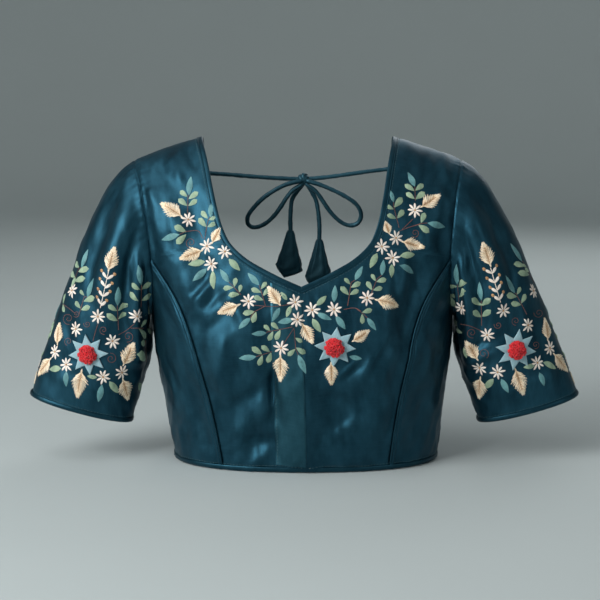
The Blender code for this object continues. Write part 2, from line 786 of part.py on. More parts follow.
class Blouse:
    """Builds the pieces in order, and keeps the panels for what lies on them."""

    def __init__(self):
        self.collection = bpy.data.collections.new("silk_blouse")
        bpy.context.scene.collection.children.link(self.collection)
        self.root = bpy.data.objects.new("silk_blouse_origin", None)
        self.collection.objects.link(self.root)
        self.silk = finish_material("silk", SILK_COLOUR, SILK_ROUGHNESS)
        self.felt = finish_material("felt", FELT_COLOUR, SOFT_ROUGHNESS)
        self.wool = finish_material("wool", WOOL_COLOUR, SOFT_ROUGHNESS)
        self.cloth = {}
        self.surfaces = {}

    def cut_panels(self):
        """Cuts the panels, and gives them normals that neighbours share and that are level at the hem."""
        for side, hand in ((1, "left"), (-1, "right")):
            self.cloth[f"front_{hand}"] = Panel(front_points(side), turned=side < 0)
            self.cloth[f"side_front_{hand}"] = Panel(side_points(side), turned=side < 0)
            self.cloth[f"sleeve_{hand}"] = Panel(sleeve_points(side), turned=side < 0, turns=SLEEVE_TURN)
        both = back_points(1)
        both.update({(j, -i): point for (j, i), point in back_points(-1).items()})
        self.cloth["back"] = Panel(both, turned=True)
        found = {}
        for panel in self.cloth.values():
            panel.add_normals(found)
        for panel in self.cloth.values():
            for place, point in panel.points.items():
                normal = found[key(point)] * (1.0, 1.0, float(place[0] > 0 or panel.turns > 0))
                panel.normals[place] = unit(normal)

    def add(self, name, mesh, material=None):
        return new_object(name, mesh, material or self.silk, self.collection, self.root)

    def sew_panels(self):
        for name, panel in self.cloth.items():
            obj = self.add(name, panel.mesh(name))
            work = bmesh.new()
            work.from_mesh(obj.data)
            self.surfaces[name] = BVHTree.FromBMesh(work)
            work.free()

    def trims(self):
        for hand, side in (("left", 1), ("right", -1)):
            name = f"neck_binding_{hand}"
            rings = self.neck_rings(f"front_{hand}", 1, HEM_ROWS + FRONT_ARM_ROWS)
            for point in rings[0]:
                point[0] = side * SEAM_INSET
            self.add(name, swept(name, rings))
            self.cuff_trim(hand)
            self.princess_piping(hand)
        left = self.neck_rings("back", 1, HEM_ROWS + FRONT_ARM_ROWS)
        right = self.neck_rings("back", -1, HEM_ROWS + FRONT_ARM_ROWS)
        self.add("back_neck_binding", swept("back_neck_binding", right[::-1] + left[1:]))
        self.hem_trim()

    def neck_rings(self, name, side, top):
        """Rings of a neck binding from the centre line round to the shoulder seam."""
        panel = self.cloth[name]
        run = [(HEM_ROWS, side * i) for i in range(NECK_COLUMN + 1)]
        run += [(j, side * NECK_COLUMN) for j in range(HEM_ROWS + 1, top + 1)]
        edge = [panel.points[place].copy() for place in run]
        inward = []
        for place in run:
            down = panel.towards(place, 1, 0) if place[0] == HEM_ROWS else 0
            across = panel.towards(place, 0, side) if abs(place[1]) == NECK_COLUMN else 0
            inward.append(unit(down + across))
        edge[-1] += unit(edge[-2] - edge[-1]) * SEAM_INSET * 2
        normals = [panel.normals[place] for place in run]
        return edge_strip(edge, inward, normals, -LIFT, NECK_TRIM_WIDTH, NECK_TRIM_LIFT, WALL)

    def hem_trim(self):
        """A trim round the outside of the hem, open at the centre front."""
        run = [("front_left", i) for i in range(PANEL_COLUMNS + 1)]
        run += [("side_front_left", i) for i in range(1, SIDE_ARM_COLUMNS + 1)]
        run += [("back", i) for i in range(BACK_COLUMNS - 1, -BACK_COLUMNS - 1, -1)]
        run += [("side_front_right", i) for i in range(SIDE_ARM_COLUMNS - 1, -1, -1)]
        run += [("front_right", i) for i in range(PANEL_COLUMNS - 1, -1, -1)]
        cloth = self.cloth
        edge = [cloth[name].points[0, i] for name, i in run]
        upward = [unit(cloth[name].points[1, i] - cloth[name].points[0, i]) for name, i in run]
        normal = [cloth[name].normals[0, i] for name, i in run]
        rings = edge_strip(edge, upward, normal, HEM_TRIM_FOOT, HEM_TRIM_WIDTH)
        for ring, sign in ((rings[0], 1), (rings[-1], -1)):
            for point in ring:
                point[0] = sign * SEAM_INSET
        self.add("hem_binding", swept("hem_binding", rings))

    def cuff_trim(self, hand):
        panel = self.cloth[f"sleeve_{hand}"]
        run = [(SLEEVE_ROWS, i) for i in range(SLEEVE_TURN)]
        edge = [panel.points[place] for place in run]
        inward = [panel.towards(place, 1, 0) for place in run]
        normal = [panel.normals[place] for place in run]
        name = f"cuff_binding_{hand}"
        rings = edge_strip(edge, inward, normal, SEAM_INSET, NECK_TRIM_WIDTH)
        self.add(name, swept(name, rings, closed=True))

    def princess_piping(self, hand):
        panel = self.cloth[f"front_{hand}"]
        up = WALL + LIFT + PIPING_RADIUS
        points = [panel.at(row, PANEL_COLUMNS, up) for row in (0.6, *range(1, HEM_ROWS), HEM_ROWS - 0.25)]
        tube(f"princess_piping_{hand}", points, PIPING_RADIUS, 1, self.silk, self.collection, self.root)

    def on_panel(self, panel, across, height, up):
        """The place on a panel's outer face at x and z, moved out by up, and the normal there."""
        facing = 1 if panel == "back" else -1
        start = leaned(np.array([across, facing * 400.0, height])) * MM
        hit, normal, _, _ = self.surfaces[panel].ray_cast(Vector(start), Vector((0, -facing, 0)))
        if hit is None:
            raise ValueError(f"nothing of {panel} lies at x {across}, z {height}")
        if normal.y * facing < 0:
            normal = -normal
        place = np.array(hit + normal * up * MM) / MM
        place[:2] -= leaned(np.array([0.0, 0.0, place[2]]))[:2]
        return place, np.array(normal)

    def placket(self):
        """The hook placket: a strip down the wearer's right front, ending at the centre line."""
        panel = self.cloth["front_right"]
        first, last = PLACKET_ENDS
        rows = [first, *range(1, math.floor(last) + 1), last]
        low, high = {}, {}
        for j, row in enumerate(rows):
            for i in range(PLACKET_COLUMNS + 1):
                inset = unit(panel.at(row, 1, WALL) - panel.at(row, 0, WALL)) * SEAM_INSET * (i == 0)
                low[j, i] = panel.at(row, i, WALL + LIFT) + inset
                high[j, i] = panel.at(row, i, WALL + LIFT + TRIM_THICKNESS) + inset
        self.add("hook_placket", Panel(low).slab("hook_placket", low, high))

    def star(self, star):
        """A flat felt star that follows its panel, and the wool pompom on its middle."""
        shares = (0.0, 0.5, 1.0)
        low, high = [], []
        for share in shares[1:]:
            for i in range(2 * STAR_POINTS):
                radius = (STAR_TIP if i % 2 == 0 else STAR_NOTCH) * share
                turn = math.radians(star.turn) + math.pi * i / STAR_POINTS
                x = star.across + radius * math.sin(turn)
                z = star.height + radius * math.cos(turn)
                place, normal = self.on_panel(star.panel, x, z, 0.0)
                low.append(place + normal * STAR_LIFT)
                high.append(place + normal * (STAR_LIFT + STAR_THICKNESS))
        middle, normal = self.on_panel(star.panel, star.across, star.height, 0.0)
        spokes = 2 * STAR_POINTS
        points = [middle + normal * STAR_LIFT, *low, middle + normal * (STAR_LIFT + STAR_THICKNESS), *high]
        half = 1 + 2 * spokes
        faces = []
        for i in range(spokes):
            k = (i + 1) % spokes
            for base, turned in ((0, False), (half, True)):
                fan = (base, base + 1 + k, base + 1 + i)
                band = (base + 1 + i, base + 1 + k, base + 1 + spokes + k, base + 1 + spokes + i)
                faces += [fan[::-1] if turned else fan, band[::-1] if turned else band]
            outer = 1 + spokes
            faces.append((outer + i, outer + k, outer + k + half, outer + i + half))
        self.add(f"star_{star.where}", mesh_of(f"star_{star.where}", np.array(points), faces), self.felt)
        self.pompom(star, middle, normal, STAR_LIFT + STAR_THICKNESS + LIFT)

    def pompom(self, star, middle, normal, up):
        mesh = bpy.data.meshes.new(f"pompom_{star.where}")
        work = bmesh.new()
        bmesh.ops.create_uvsphere(work, u_segments=16, v_segments=8, radius=POMPOM_RADIUS * MM)
        for vertex in work.verts:
            height = (vertex.co.z / (POMPOM_RADIUS * MM) + 1) / 2
            vertex.co.z = height * POMPOM_HEIGHT * MM
        work.to_mesh(mesh)
        work.free()
        mesh.shade_smooth()
        obj = self.add(f"pompom_{star.where}", mesh, self.wool)
        obj.location = Vector(leaned(middle + normal * up) * MM)
        obj.rotation_mode = "QUATERNION"
        obj.rotation_quaternion = Vector(normal).to_track_quat("Z", "Y")

    def bow(self):
        """The back tie: straps, loops and tails of one cord each side, and the knot between them."""
        for name, route in ROUTES.items():
            if name in TIE_FOOT:
                up = NECK_TRIM_LIFT + TRIM_THICKNESS + LIFT + CORD_RADIUS
                route = [self.on_panel("back", *TIE_FOOT[name], up)[0], *route]
            tube(name, route_points(route), CORD_RADIUS, 2, self.silk, self.collection, self.root)
        mesh = bpy.data.meshes.new("bow_knot")
        work = bmesh.new()
        bmesh.ops.create_uvsphere(work, u_segments=12, v_segments=8, radius=0.5)
        work.to_mesh(mesh)
        work.free()
        mesh.transform(Matrix.Diagonal(Vector(KNOT_SIZE) * MM).to_4x4())
        mesh.shade_smooth()
        obj = self.add("bow_knot", mesh, self.silk)
        obj.location = Vector(leaned(np.array(KNOT_AT)) * MM)

    def tassel(self, tassel):
        """A stuffed cloth cone, wide and flat, hung from its cord by its narrow top."""
        rings = []
        lean = math.radians(tassel.lean)
        for drop, width in TASSEL_RINGS:
            ring = []
            for i in range(TASSEL_SIDES):
                turn = 2 * math.pi * i / TASSEL_SIDES
                x = tassel.half_width * width * math.copysign(abs(math.cos(turn)) ** 0.8, math.cos(turn))
                y = tassel.half_depth * max(width, 0.3) * math.copysign(abs(math.sin(turn)) ** 0.8, math.sin(turn))
                z = -tassel.height * drop
                z += math.copysign(TASSEL_SLANT, tassel.lean) * -x / tassel.half_width * drop**3 * 0.5
                ring.append([x * math.cos(lean) - z * math.sin(lean), y, x * math.sin(lean) + z * math.cos(lean)])
            rings.append(ring)
        mesh = swept(tassel.name, np.array(rings) - leaned(np.zeros(3)))
        obj = self.add(tassel.name, mesh, self.silk)
        obj.location = Vector(leaned(np.array(tassel.top)) * MM)


def main():
    for obj in list(bpy.data.objects):
        bpy.data.objects.remove(obj)
    blouse = Blouse()
    blouse.cut_panels()
    blouse.sew_panels()
    blouse.trims()
    blouse.placket()
    for star in STARS:
        blouse.star(star)
    blouse.bow()
    for tassel in TASSELS:
        blouse.tassel(tassel)


main()
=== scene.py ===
"""Dresses the silk blouse: its fine cloth, trims, tied cord, embroidery, felt stars, studio and camera.

Lengths are in millimetres until a mesh is made. x runs across towards the wearer's left, the front faces
-y and z is up. Left and right are the wearer's.
"""

from __future__ import annotations

import logging
import math
from collections.abc import Iterable, Sequence
from dataclasses import dataclass, field
from enum import Enum
from typing import Any, NamedTuple

import bpy
import numpy as np
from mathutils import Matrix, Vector
from mathutils.bvhtree import BVHTree


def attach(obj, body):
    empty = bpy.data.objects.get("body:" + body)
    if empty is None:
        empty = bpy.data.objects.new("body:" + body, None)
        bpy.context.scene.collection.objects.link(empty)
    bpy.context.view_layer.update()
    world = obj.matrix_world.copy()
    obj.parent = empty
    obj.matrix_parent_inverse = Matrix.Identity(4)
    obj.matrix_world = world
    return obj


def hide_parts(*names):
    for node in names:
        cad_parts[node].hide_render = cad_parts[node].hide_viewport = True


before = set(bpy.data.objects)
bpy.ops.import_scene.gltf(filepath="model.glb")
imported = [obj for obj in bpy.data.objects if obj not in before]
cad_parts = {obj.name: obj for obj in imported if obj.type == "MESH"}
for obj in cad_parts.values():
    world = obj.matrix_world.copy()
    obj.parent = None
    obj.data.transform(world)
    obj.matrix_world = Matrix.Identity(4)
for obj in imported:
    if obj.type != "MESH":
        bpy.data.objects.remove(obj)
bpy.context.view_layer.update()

log = logging.getLogger("silk_blouse")
Array = np.ndarray
Place = tuple[float, float, float]
MM = 0.001
WALL, LINING_GAP = 1.5, 0.3
CENTRE = (-2.6, 15.7)
HEM_LEAN, SHOULDER_LEAN, SHOULDER_HEIGHT = 4.5, -4.5, 340.0


class Hand(Enum):
    """The wearer's side, with the sign of its x."""

    LEFT = 1
    RIGHT = -1

    @property
    def word(self) -> str:
        """The name used in node names."""
        return self.name.lower()


# Shader maths


class Wire:
    """A socket's value in an expression; operators add Math nodes."""

    def __init__(self, graph: Graph, socket: Any) -> None:
        """Wraps an output socket of a graph."""
        self.graph = graph
        self.socket = socket

    def _math(self, operation: str, *values: Any) -> Wire:
        """Adds a Math node that works on values."""
        return self.graph.node("ShaderNodeMath", {"operation": operation}, dict(enumerate(values)))

    def __add__(self, other: Any) -> Wire:
        """Adds."""
        return self._math("ADD", self, other)

    __radd__ = __add__

    def __mul__(self, other: Any) -> Wire:
        """Multiplies."""
        return self._math("MULTIPLY", self, other)

    __rmul__ = __mul__

    def __sub__(self, other: Any) -> Wire:
        """Subtracts."""
        return self._math("SUBTRACT", self, other)

    def __rsub__(self, other: Any) -> Wire:
        """Subtracts from a number, so that 1 - mask works."""
        return self._math("SUBTRACT", other, self)

    def clamp(self) -> Wire:
        """The value kept between 0 and 1."""
        return self._math("MINIMUM", self._math("MAXIMUM", self, 0.0), 1.0)


class Graph:
    """Builds one material's nodes."""

    def __init__(self, name: str) -> None:
        """Makes an empty material with its output.

        Args:
            name: the material's name.
        """
        self.material = bpy.data.materials.new(name)
        self.material.use_nodes = True
        self.tree = self.material.node_tree
        self.tree.nodes.clear()

    def node(
        self, kind: str, settings: dict[str, Any] | None = None, inputs: dict[Any, Any] | None = None,
        out: Any = 0
    ) -> Wire:
        """Adds a node.

        Args:
            kind: the node's type.
            settings: its own settings, made before the sockets are filled. A ramp takes "stops".
            inputs: values or wires by socket name or number.
            out: the output to return.

        Returns:
            The output as a wire.
        """
        node = self.tree.nodes.new(kind)
        for key, value in (settings or {}).items():
            if key == "stops":
                ramp = node.color_ramp
                while len(ramp.elements) < len(value):
                    ramp.elements.new(0.5)
                for element, (position, colour) in zip(ramp.elements, value, strict=True):
                    element.position = position
                    element.color = (*colour, 1.0)
            else:
                setattr(node, key, value)
        for key, value in (inputs or {}).items():
            socket = node.inputs[key]
            if isinstance(value, Wire):
                self.tree.links.new(value.socket, socket)
            else:
                socket.default_value = value
        return Wire(self, node.outputs[out])

    def noise(self, where: Wire, scale: float, detail: float = 2.0, roughness: float = 0.5) -> Wire:
        """A noise value at a place."""
        inputs = {"Vector": where, "Scale": scale, "Detail": detail, "Roughness": roughness}
        return self.node("ShaderNodeTexNoise", {}, inputs)

    def stretched(self, where: Wire, scale: Place) -> Wire:
        """A place stretched along its axes."""
        return self.node("ShaderNodeMapping", {}, {"Vector": where, "Scale": scale})

    def mix(self, amount: Any, low: Any, high: Any) -> Wire:
        """A colour between two others."""
        settings = {"data_type": "RGBA", "blend_type": "MIX"}
        return self.node("ShaderNodeMix", settings, {0: amount, 6: low, 7: high}, out=2)

    def bump(self, height: Wire, distance: float, strength: float = 1.0) -> Wire:
        """A bumped normal; the distance is in millimetres."""
        inputs = {"Height": height, "Distance": distance * MM, "Strength": strength}
        return self.node("ShaderNodeBump", {}, inputs)

    def finish(self, **sockets: Any) -> bpy.types.Material:
        """Ends in a Principled shader with the given sockets, named with underscores for spaces."""
        inputs = {key.replace("_", " "): value for key, value in sockets.items()}
        shader = self.node("ShaderNodeBsdfPrincipled", {}, inputs)
        self.node_output(shader)
        return self.material

    def node_output(self, shader: Wire) -> None:
        """Joins a shader to the material's output."""
        output = self.tree.nodes.new("ShaderNodeOutputMaterial")
        self.tree.links.new(shader.socket, output.inputs["Surface"])


Colour = tuple[float, float, float]


def opaque(colour: Colour) -> tuple[float, float, float, float]:
    """A colour with full alpha."""
    return (*colour, 1.0)


@dataclass(frozen=True)
class SatinSilk:
    """Satin-faced silk: coloured gloss, a fine twill, faint slubs along the weft and a painted sheen mottle
    in its colour.
    """

    name: str
    shade: Colour = (0.019, 0.079, 0.118)
    deep: Colour = (0.007, 0.038, 0.060)
    roughness: float = 0.44
    metallic: float = 0.80
    crumple: float = 0.22

    def material(self) -> bpy.types.Material:
        """Makes the material."""
        g = Graph(self.name)
        cloth = g.node("ShaderNodeUVMap", {}, {})
        painted_sheen_clouds = g.noise(g.stretched(cloth, (46.0, 20.0, 1.0)), 1.0, 4.0, 0.66)
        slub = g.noise(g.stretched(cloth, (30.0, 900.0, 1.0)), 1.0, 2.0, 0.6)
        crush = g.noise(g.stretched(cloth, (120.0, 52.0, 1.0)), 1.0, 3.0, 0.55)
        twill = g.node(
            "ShaderNodeTexWave", {"wave_type": "BANDS", "bands_direction": "DIAGONAL"},
            {"Vector": cloth, "Scale": 620.0, "Distortion": 1.2, "Detail": 1.0}
        )
        # the cloud noise paints patchy satin sheen into the colour as lighter and darker patches (painted
        # sheen); the slubs are the weave's own tone
        tone = ((painted_sheen_clouds - 0.5) * 2.6 + (slub - 0.5) * 0.6 + 0.5).clamp()
        rough = (self.roughness + (painted_sheen_clouds - 0.5) * 0.22 + (slub - 0.5) * 0.08).clamp()
        fine = g.bump(twill * 0.5 + slub * 0.8, 0.05, 0.35)
        normal = g.node(
            "ShaderNodeBump", {},
            {"Height": crush, "Distance": self.crumple * MM, "Strength": 0.55, "Normal": fine}
        )
        colour = g.mix(tone, opaque(self.deep), opaque(self.shade))
        return g.finish(
            Base_Color=colour, Roughness=rough, Metallic=self.metallic, Normal=normal, Specular_IOR_Level=0.2
        )


@dataclass(frozen=True)
class Lining:
    """Plain matt lining on the inside."""

    name: str = "lining"
    shade: Colour = (0.012, 0.055, 0.075)

    def material(self) -> bpy.types.Material:
        """Makes the material."""
        g = Graph(self.name)
        cloth = g.node("ShaderNodeUVMap", {}, {})
        weave = g.node("ShaderNodeTexChecker", {}, {"Vector": cloth, "Scale": 1400.0}, out="Fac")
        cloud = g.noise(g.node("ShaderNodeTexCoord", {}, {}, out="Object"), 30.0)
        colour = g.mix(cloud, opaque(self.shade), opaque(tuple(1.5 * c for c in self.shade)))
        return g.finish(
            Base_Color=colour, Roughness=0.7, Normal=g.bump(weave + cloud, 0.05, 0.4), Sheen_Weight=0.2
        )


@dataclass(frozen=True)
class Yarn:
    """Embroidery thread or wool: two close shades along it and a soft twist."""

    name: str
    shade: Colour
    deep: Colour
    roughness: float = 0.55
    sheen: float = 0.3
    grain: float = 900.0

    def material(self) -> bpy.types.Material:
        """Makes the material."""
        g = Graph(self.name)
        place = g.node("ShaderNodeTexCoord", {}, {}, out="Object")
        soft = g.noise(place, 120.0, 2.0)
        fibre = g.noise(place, self.grain, 3.0, 0.7)
        tone = ((soft - 0.5) * 1.8 + (fibre - 0.5) * 0.9 + 0.6).clamp()
        colour = g.mix(tone, opaque(self.deep), opaque(self.shade))
        rough = (self.roughness + (fibre - 0.5) * 0.2).clamp()
        return g.finish(
            Base_Color=colour, Roughness=rough, Normal=g.bump(fibre, 0.12, 0.6), Sheen_Weight=self.sheen,
            Sheen_Roughness=0.4
        )


@dataclass(frozen=True)
class Felt:
    """Pressed wool felt with short matted fibres."""

    name: str = "blue_felt"
    shade: Colour = (0.34, 0.53, 0.58)
    deep: Colour = (0.20, 0.36, 0.42)

    def material(self) -> bpy.types.Material:
        """Makes the material."""
        g = Graph(self.name)
        place = g.node("ShaderNodeTexCoord", {}, {}, out="Object")
        fibre = g.noise(place, 700.0, 4.0, 0.75)
        mottle = g.noise(place, 160.0, 2.0)
        colour = g.mix((fibre * 0.8 + mottle * 0.5 - 0.15).clamp(), opaque(self.deep), opaque(self.shade))
        return g.finish(
            Base_Color=colour, Roughness=0.92, Normal=g.bump(fibre + mottle * 0.5, 0.5, 0.8),
            Sheen_Weight=0.35, Sheen_Roughness=0.6
        )


@dataclass(frozen=True)
class Paper:
    """The studio's plain pale floor."""

    name: str = "pale_floor"
    shade: Colour = (0.45, 0.505, 0.505)

    def material(self) -> bpy.types.Material:
        """Makes the material."""
        g = Graph(self.name)
        cloud = g.noise(g.node("ShaderNodeTexCoord", {}, {}, out="Object"), 3.0)
        colour = g.mix(cloud, opaque(self.shade), opaque(tuple(1.05 * c for c in self.shade)))
        return g.finish(Base_Color=colour, Roughness=0.85)


class Finish(Enum):
    """Every finish of the blouse and its studio."""

    SILK = SatinSilk("teal_satin")
    TRIM = SatinSilk("teal_satin_trim", shade=(0.016, 0.062, 0.088), roughness=0.42, crumple=0.12)
    # a lighter copy of the silk for the placket: its paler shade paints the lit band down the closure
    # (painted highlight)
    PLACKET = SatinSilk("teal_satin_placket", shade=(0.030, 0.108, 0.146), deep=(0.014, 0.060, 0.085))
    # a lighter, less metallic copy of the silk for the cord and tassels: its paler shade is painted light
    # that makes up for the light the tassels lack
    CORD = SatinSilk(
        "teal_satin_cord", shade=(0.031, 0.101, 0.135), deep=(0.015, 0.060, 0.085), roughness=0.42,
        metallic=0.4, crumple=0.12
    )
    LINING = Lining()
    SEWING = Yarn("sewing_thread", (0.030, 0.110, 0.130), (0.012, 0.055, 0.070))
    WHITE = Yarn("white_thread", (0.95, 0.88, 0.80), (0.74, 0.60, 0.50))
    CREAM = Yarn("cream_thread", (0.96, 0.84, 0.66), (0.76, 0.58, 0.36))
    TAN = Yarn("tan_thread", (0.62, 0.36, 0.16), (0.36, 0.18, 0.08))
    LEAF = Yarn("pale_green_thread", (0.36, 0.48, 0.32), (0.13, 0.22, 0.15))
    TEAL = Yarn("blue_green_thread", (0.14, 0.34, 0.35), (0.05, 0.16, 0.18))
    BROWN = Yarn("brown_thread", (0.21, 0.080, 0.062), (0.10, 0.040, 0.034))
    FELT = Felt()
    WOOL = Yarn(
        "red_wool", (0.80, 0.012, 0.022), (0.45, 0.004, 0.010), roughness=0.8, sheen=0.5, grain=1400.0
    )
    FLOOR = Paper()

    def get(self) -> bpy.types.Material:
        """The finish's material, made once."""
        found = bpy.data.materials.get(self.value.name)
        return found or self.value.material()


# Meshes


def stand(points: Array) -> Array:
    """Points in millimetres as metres in the part's frame, with the blouse's slight lean.

    Args:
        points: places in millimetres.

    Returns:
        Places in metres.
    """
    points = np.array(points, float)
    points[..., 0] += CENTRE[0] + HEM_LEAN + (SHOULDER_LEAN - HEM_LEAN) * points[..., 2] / SHOULDER_HEIGHT
    points[..., 1] += CENTRE[1]
    return points * MM


def unit(vectors: Array) -> Array:
    """Vectors at length one."""
    return vectors / np.maximum(np.linalg.norm(vectors, axis=-1, keepdims=True), 1e-9)


def run_of(points: Array) -> Array:
    """How far along a line each of its points lies."""
    return np.concatenate([[0], np.cumsum(np.linalg.norm(np.diff(points, axis=0), axis=1))])


def smoothstep(t: Array) -> Array:
    """A soft step from 0 to 1."""
    t = np.clip(t, 0.0, 1.0)
    return t * t * (3 - 2 * t)


def make_object(
    name: str, points: Array, faces: list, finishes: Sequence[Finish], smooth: float = 50.0
) -> bpy.types.Object:
    """Makes a mesh object that rides on the part.

    Args:
        name: the piece's name.
        points: its vertices, in metres.
        faces: its faces.
        finishes: its materials, by slot.
        smooth: the largest angle in degrees that is still shaded smooth.

    Returns:
        The object, linked to the scene.
    """
    mesh = bpy.data.meshes.new(name)
    mesh.from_pydata(points.reshape(-1, 3).tolist(), [], faces)
    mesh.shade_smooth()
    mesh.set_sharp_from_angle(angle=math.radians(smooth))
    for finish in finishes:
        mesh.materials.append(finish.get())
    piece = bpy.data.objects.new(name, mesh)
    bpy.context.scene.collection.objects.link(piece)
    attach(piece, "root")
    return piece


def tube_faces(rings: int, sides: int, closed: bool = False, start: int = 0) -> list:
    """Faces of a tube through rings, with caps unless it closes on itself.

    Args:
        rings: how many rings it has.
        sides: the corners of each ring.
        closed: whether it runs round.
        start: the number of its first point.

    Returns:
        The faces.
    """
    faces = []
    for j in range(rings if closed else rings - 1):
        for i in range(sides):
            a = start + j * sides + i
            b = start + j * sides + (i + 1) % sides
            c = start + ((j + 1) % rings) * sides + (i + 1) % sides
            d = start + ((j + 1) % rings) * sides + i
            faces.append((a, b, c, d))
    if not closed:
        faces.append(tuple(start + i for i in range(sides))[::-1])
        faces.append(tuple(start + (rings - 1) * sides + i for i in range(sides)))
    return faces


# The blouse's shape


class Curve:
    """A smooth function through table rows that never overshoots them."""

    def __init__(self, rows: Iterable[tuple[float, float]]) -> None:
        """Takes rows of place and value.

        Args:
            rows: rows of place and value.
        """
        self.x, self.y = np.array(list(rows), float).T
        step = np.diff(self.x)
        rise = np.diff(self.y) / step
        slope = np.concatenate([rise[:1], np.zeros(len(self.x) - 2), rise[-1:]])
        for i in range(1, len(self.x) - 1):
            if rise[i - 1] * rise[i] > 0:
                a, b = 2 * step[i] + step[i - 1], step[i] + 2 * step[i - 1]
                slope[i] = (a + b) / (a / rise[i - 1] + b / rise[i])
        self.slope, self.step = slope, step

    def __call__(self, at: Any) -> Array:
        """The value at a place.

        Args:
            at: where to read it.

        Returns:
            The values.
        """
        at = np.clip(at, self.x[0], self.x[-1])
        i = np.clip(np.searchsorted(self.x, at, side="right") - 1, 0, len(self.step) - 1)
        t = (at - self.x[i]) / self.step[i]
        low = (1 + 2 * t) * (1 - t) ** 2 * self.y[i] + t * (1 - t) ** 2 * self.step[i] * self.slope[i]
        high = t * t * (3 - 2 * t) * self.y[i + 1] + t * t * (t - 1) * self.step[i] * self.slope[i + 1]
        return low + high


class Fold(NamedTuple):
    """A soft ridge or trough along a line on the cloth; a trough has a rise below 0."""

    from_across: float
    from_along: float
    to_across: float
    to_along: float
    half_width: float
    rise: float


def fold_rise(folds: Sequence[Fold], across: Array, along: Array) -> Array:
    """The height that the folds give to places on the cloth.

    Args:
        folds: the folds.
        across: distances across the cloth.
        along: distances along the cloth.

    Returns:
        The cloth's rise there.
    """
    total = np.zeros(np.broadcast(across, along).shape)
    for fold in folds:
        run = np.array([fold.to_across - fold.from_across, fold.to_along - fold.from_along])
        dx, dy = across - fold.from_across, along - fold.from_along
        share = (dx * run[0] + dy * run[1]) / (run @ run)
        held = np.clip(share, 0, 1)
        away = np.hypot(dx - held * run[0], dy - held * run[1])
        fade = smoothstep((share + 0.35) / 0.6) * smoothstep((1.35 - share) / 0.6)
        total += fold.rise * np.exp(-((away / fold.half_width) ** 2)) * fade
    return total


def unevenness(across: Array, along: Array, seed: int, lowest: float, highest: float, rise: float) -> Array:
    """Gentle waves in many directions, with lengths between two limits.

    Args:
        across: distances across the cloth.
        along: distances along the cloth.
        seed: which pattern to make.
        lowest: the shortest wave.
        highest: the longest wave.
        rise: how high it stands.

    Returns:
        The cloth's rise there.
    """
    rng = np.random.default_rng(seed)
    total = np.zeros(np.broadcast(across, along).shape)
    for _ in range(WAVES):
        length = rng.uniform(lowest, highest)
        turn, phase = rng.uniform(0, math.tau, 2)
        total += np.sin(
            math.tau * (across * math.cos(turn) + along * math.sin(turn)) / length + phase
        ) * length / highest
    return total * rise / 4.0


def creasing(across: Array, along: Array, seed: int, rise: float, lean: float = 0.0) -> Array:
    """Crisp creases in patches, which run mostly along the cloth and turn by lean.

    Args:
        across: distances across the cloth.
        along: distances along the cloth.
        seed: which pattern to make.
        rise: how high it stands.
        lean: how far the creases turn, in radians.

    Returns:
        The cloth's rise there.
    """
    rng = np.random.default_rng(seed)
    total = np.zeros(np.broadcast(across, along).shape)
    bent = across + 8 * np.sin(along / 29 + seed) + 3 * np.sin(along / 11 + across / 17)
    for _ in range(CREASES):
        length, turn, phase = rng.uniform(15, 34), lean + rng.uniform(-0.75, 0.75), rng.uniform(0, math.tau)
        wave = np.sin(math.pi * (bent * math.cos(turn) + along * math.sin(turn)) / length + phase)
        patch = unevenness(across, along, int(rng.integers(1000)), 40.0, 110.0, 4.0)
        total += (0.62 - np.sqrt(wave * wave + 0.006)) * length / 30 * smoothstep(patch / 1.6 + 0.1)
    return total * rise


# the CAD grid's rows and columns, and the cloth's own steps in each of them
HEM_ROWS, ARM_ROWS, SIDE_COLUMNS = 14, 10, 6
FINE, BACK_FINE, SLEEVE_FINE = 6, 3, 9
PANEL_COLUMNS, NECK_COLUMN = 9, 5
BACK_COLUMNS = PANEL_COLUMNS + SIDE_COLUMNS
SLEEVE_ROWS, SLEEVE_TURN = 13, 32
PLACKET_COLUMNS, PLACKET_STEP = 3, 11.0
SLEEVE_STEP, CALM, WAVES, CREASES = 1.15, 9, 16, 7
UNDERARM, PRINCESS_TOP, SHOULDER_TIP = 162.0, 230.0, 334.0
PRINCESS_EDGE, BACK_CORNER = 164.0, 94.0
SECTION_POWER, SLEEVE_POWER, SHOULDER_ROLL = 2.3, 2.15, 100.0
SLEEVE_LENGTH, SLEEVE_ROUND, CAP_SHARE = 298.0, 330.0, 0.45

# height, half width, front depth, back depth
SECTIONS = np.array(
    [
        (0, 146.5, 97, 90),
        (30, 151.5, 102, 91),
        (60, 155.5, 108, 92),
        (100, 161.5, 114, 94),
        (135, 166.0, 117, 96),
        (162, 168.0, 117, 98),
        (200, 175.0, 112, 100),
        (232, 185.0, 103, 100),
        (270, 204.0, 92, 97),
        (304, 228.0, 84, 92),
        (335, 245.0, 78, 88),
        (362, 250.0, 76, 86),
    ]
)
# share along the sleeve, outer edge x and z, inner edge x and z, half depth, middle y
SLEEVE = np.array(
    [
        (0.0, 182.0, 334.0, 168.0, 162.0, 55.0, 0.0),
        (0.052, 194.5, 325.5, 173.2, 161.0, 56.5, 0.0),
        (0.116, 208.0, 311.0, 173.4, 153.5, 57.5, 0.0),
        (0.185, 219.5, 293.5, 172.6, 146.0, 57.5, -0.3),
        (0.26, 230.0, 274.0, 171.9, 138.5, 57.5, -0.7),
        (0.34, 239.5, 253.5, 171.6, 130.5, 56.5, -1.2),
        (0.42, 248.5, 232.5, 172.0, 121.5, 55.0, -1.6),
        (0.517, 258.8, 204.5, 174.6, 109.5, 52.5, -2.0),
        (0.675, 275.8, 161.0, 181.6, 89.0, 47.5, -3.0),
        (0.836, 292.6, 116.0, 190.0, 65.5, 42.0, -3.5),
        (1.0, 308.5, 70.0, 198.6, 40.0, 36.0, -4.0),
    ]
)
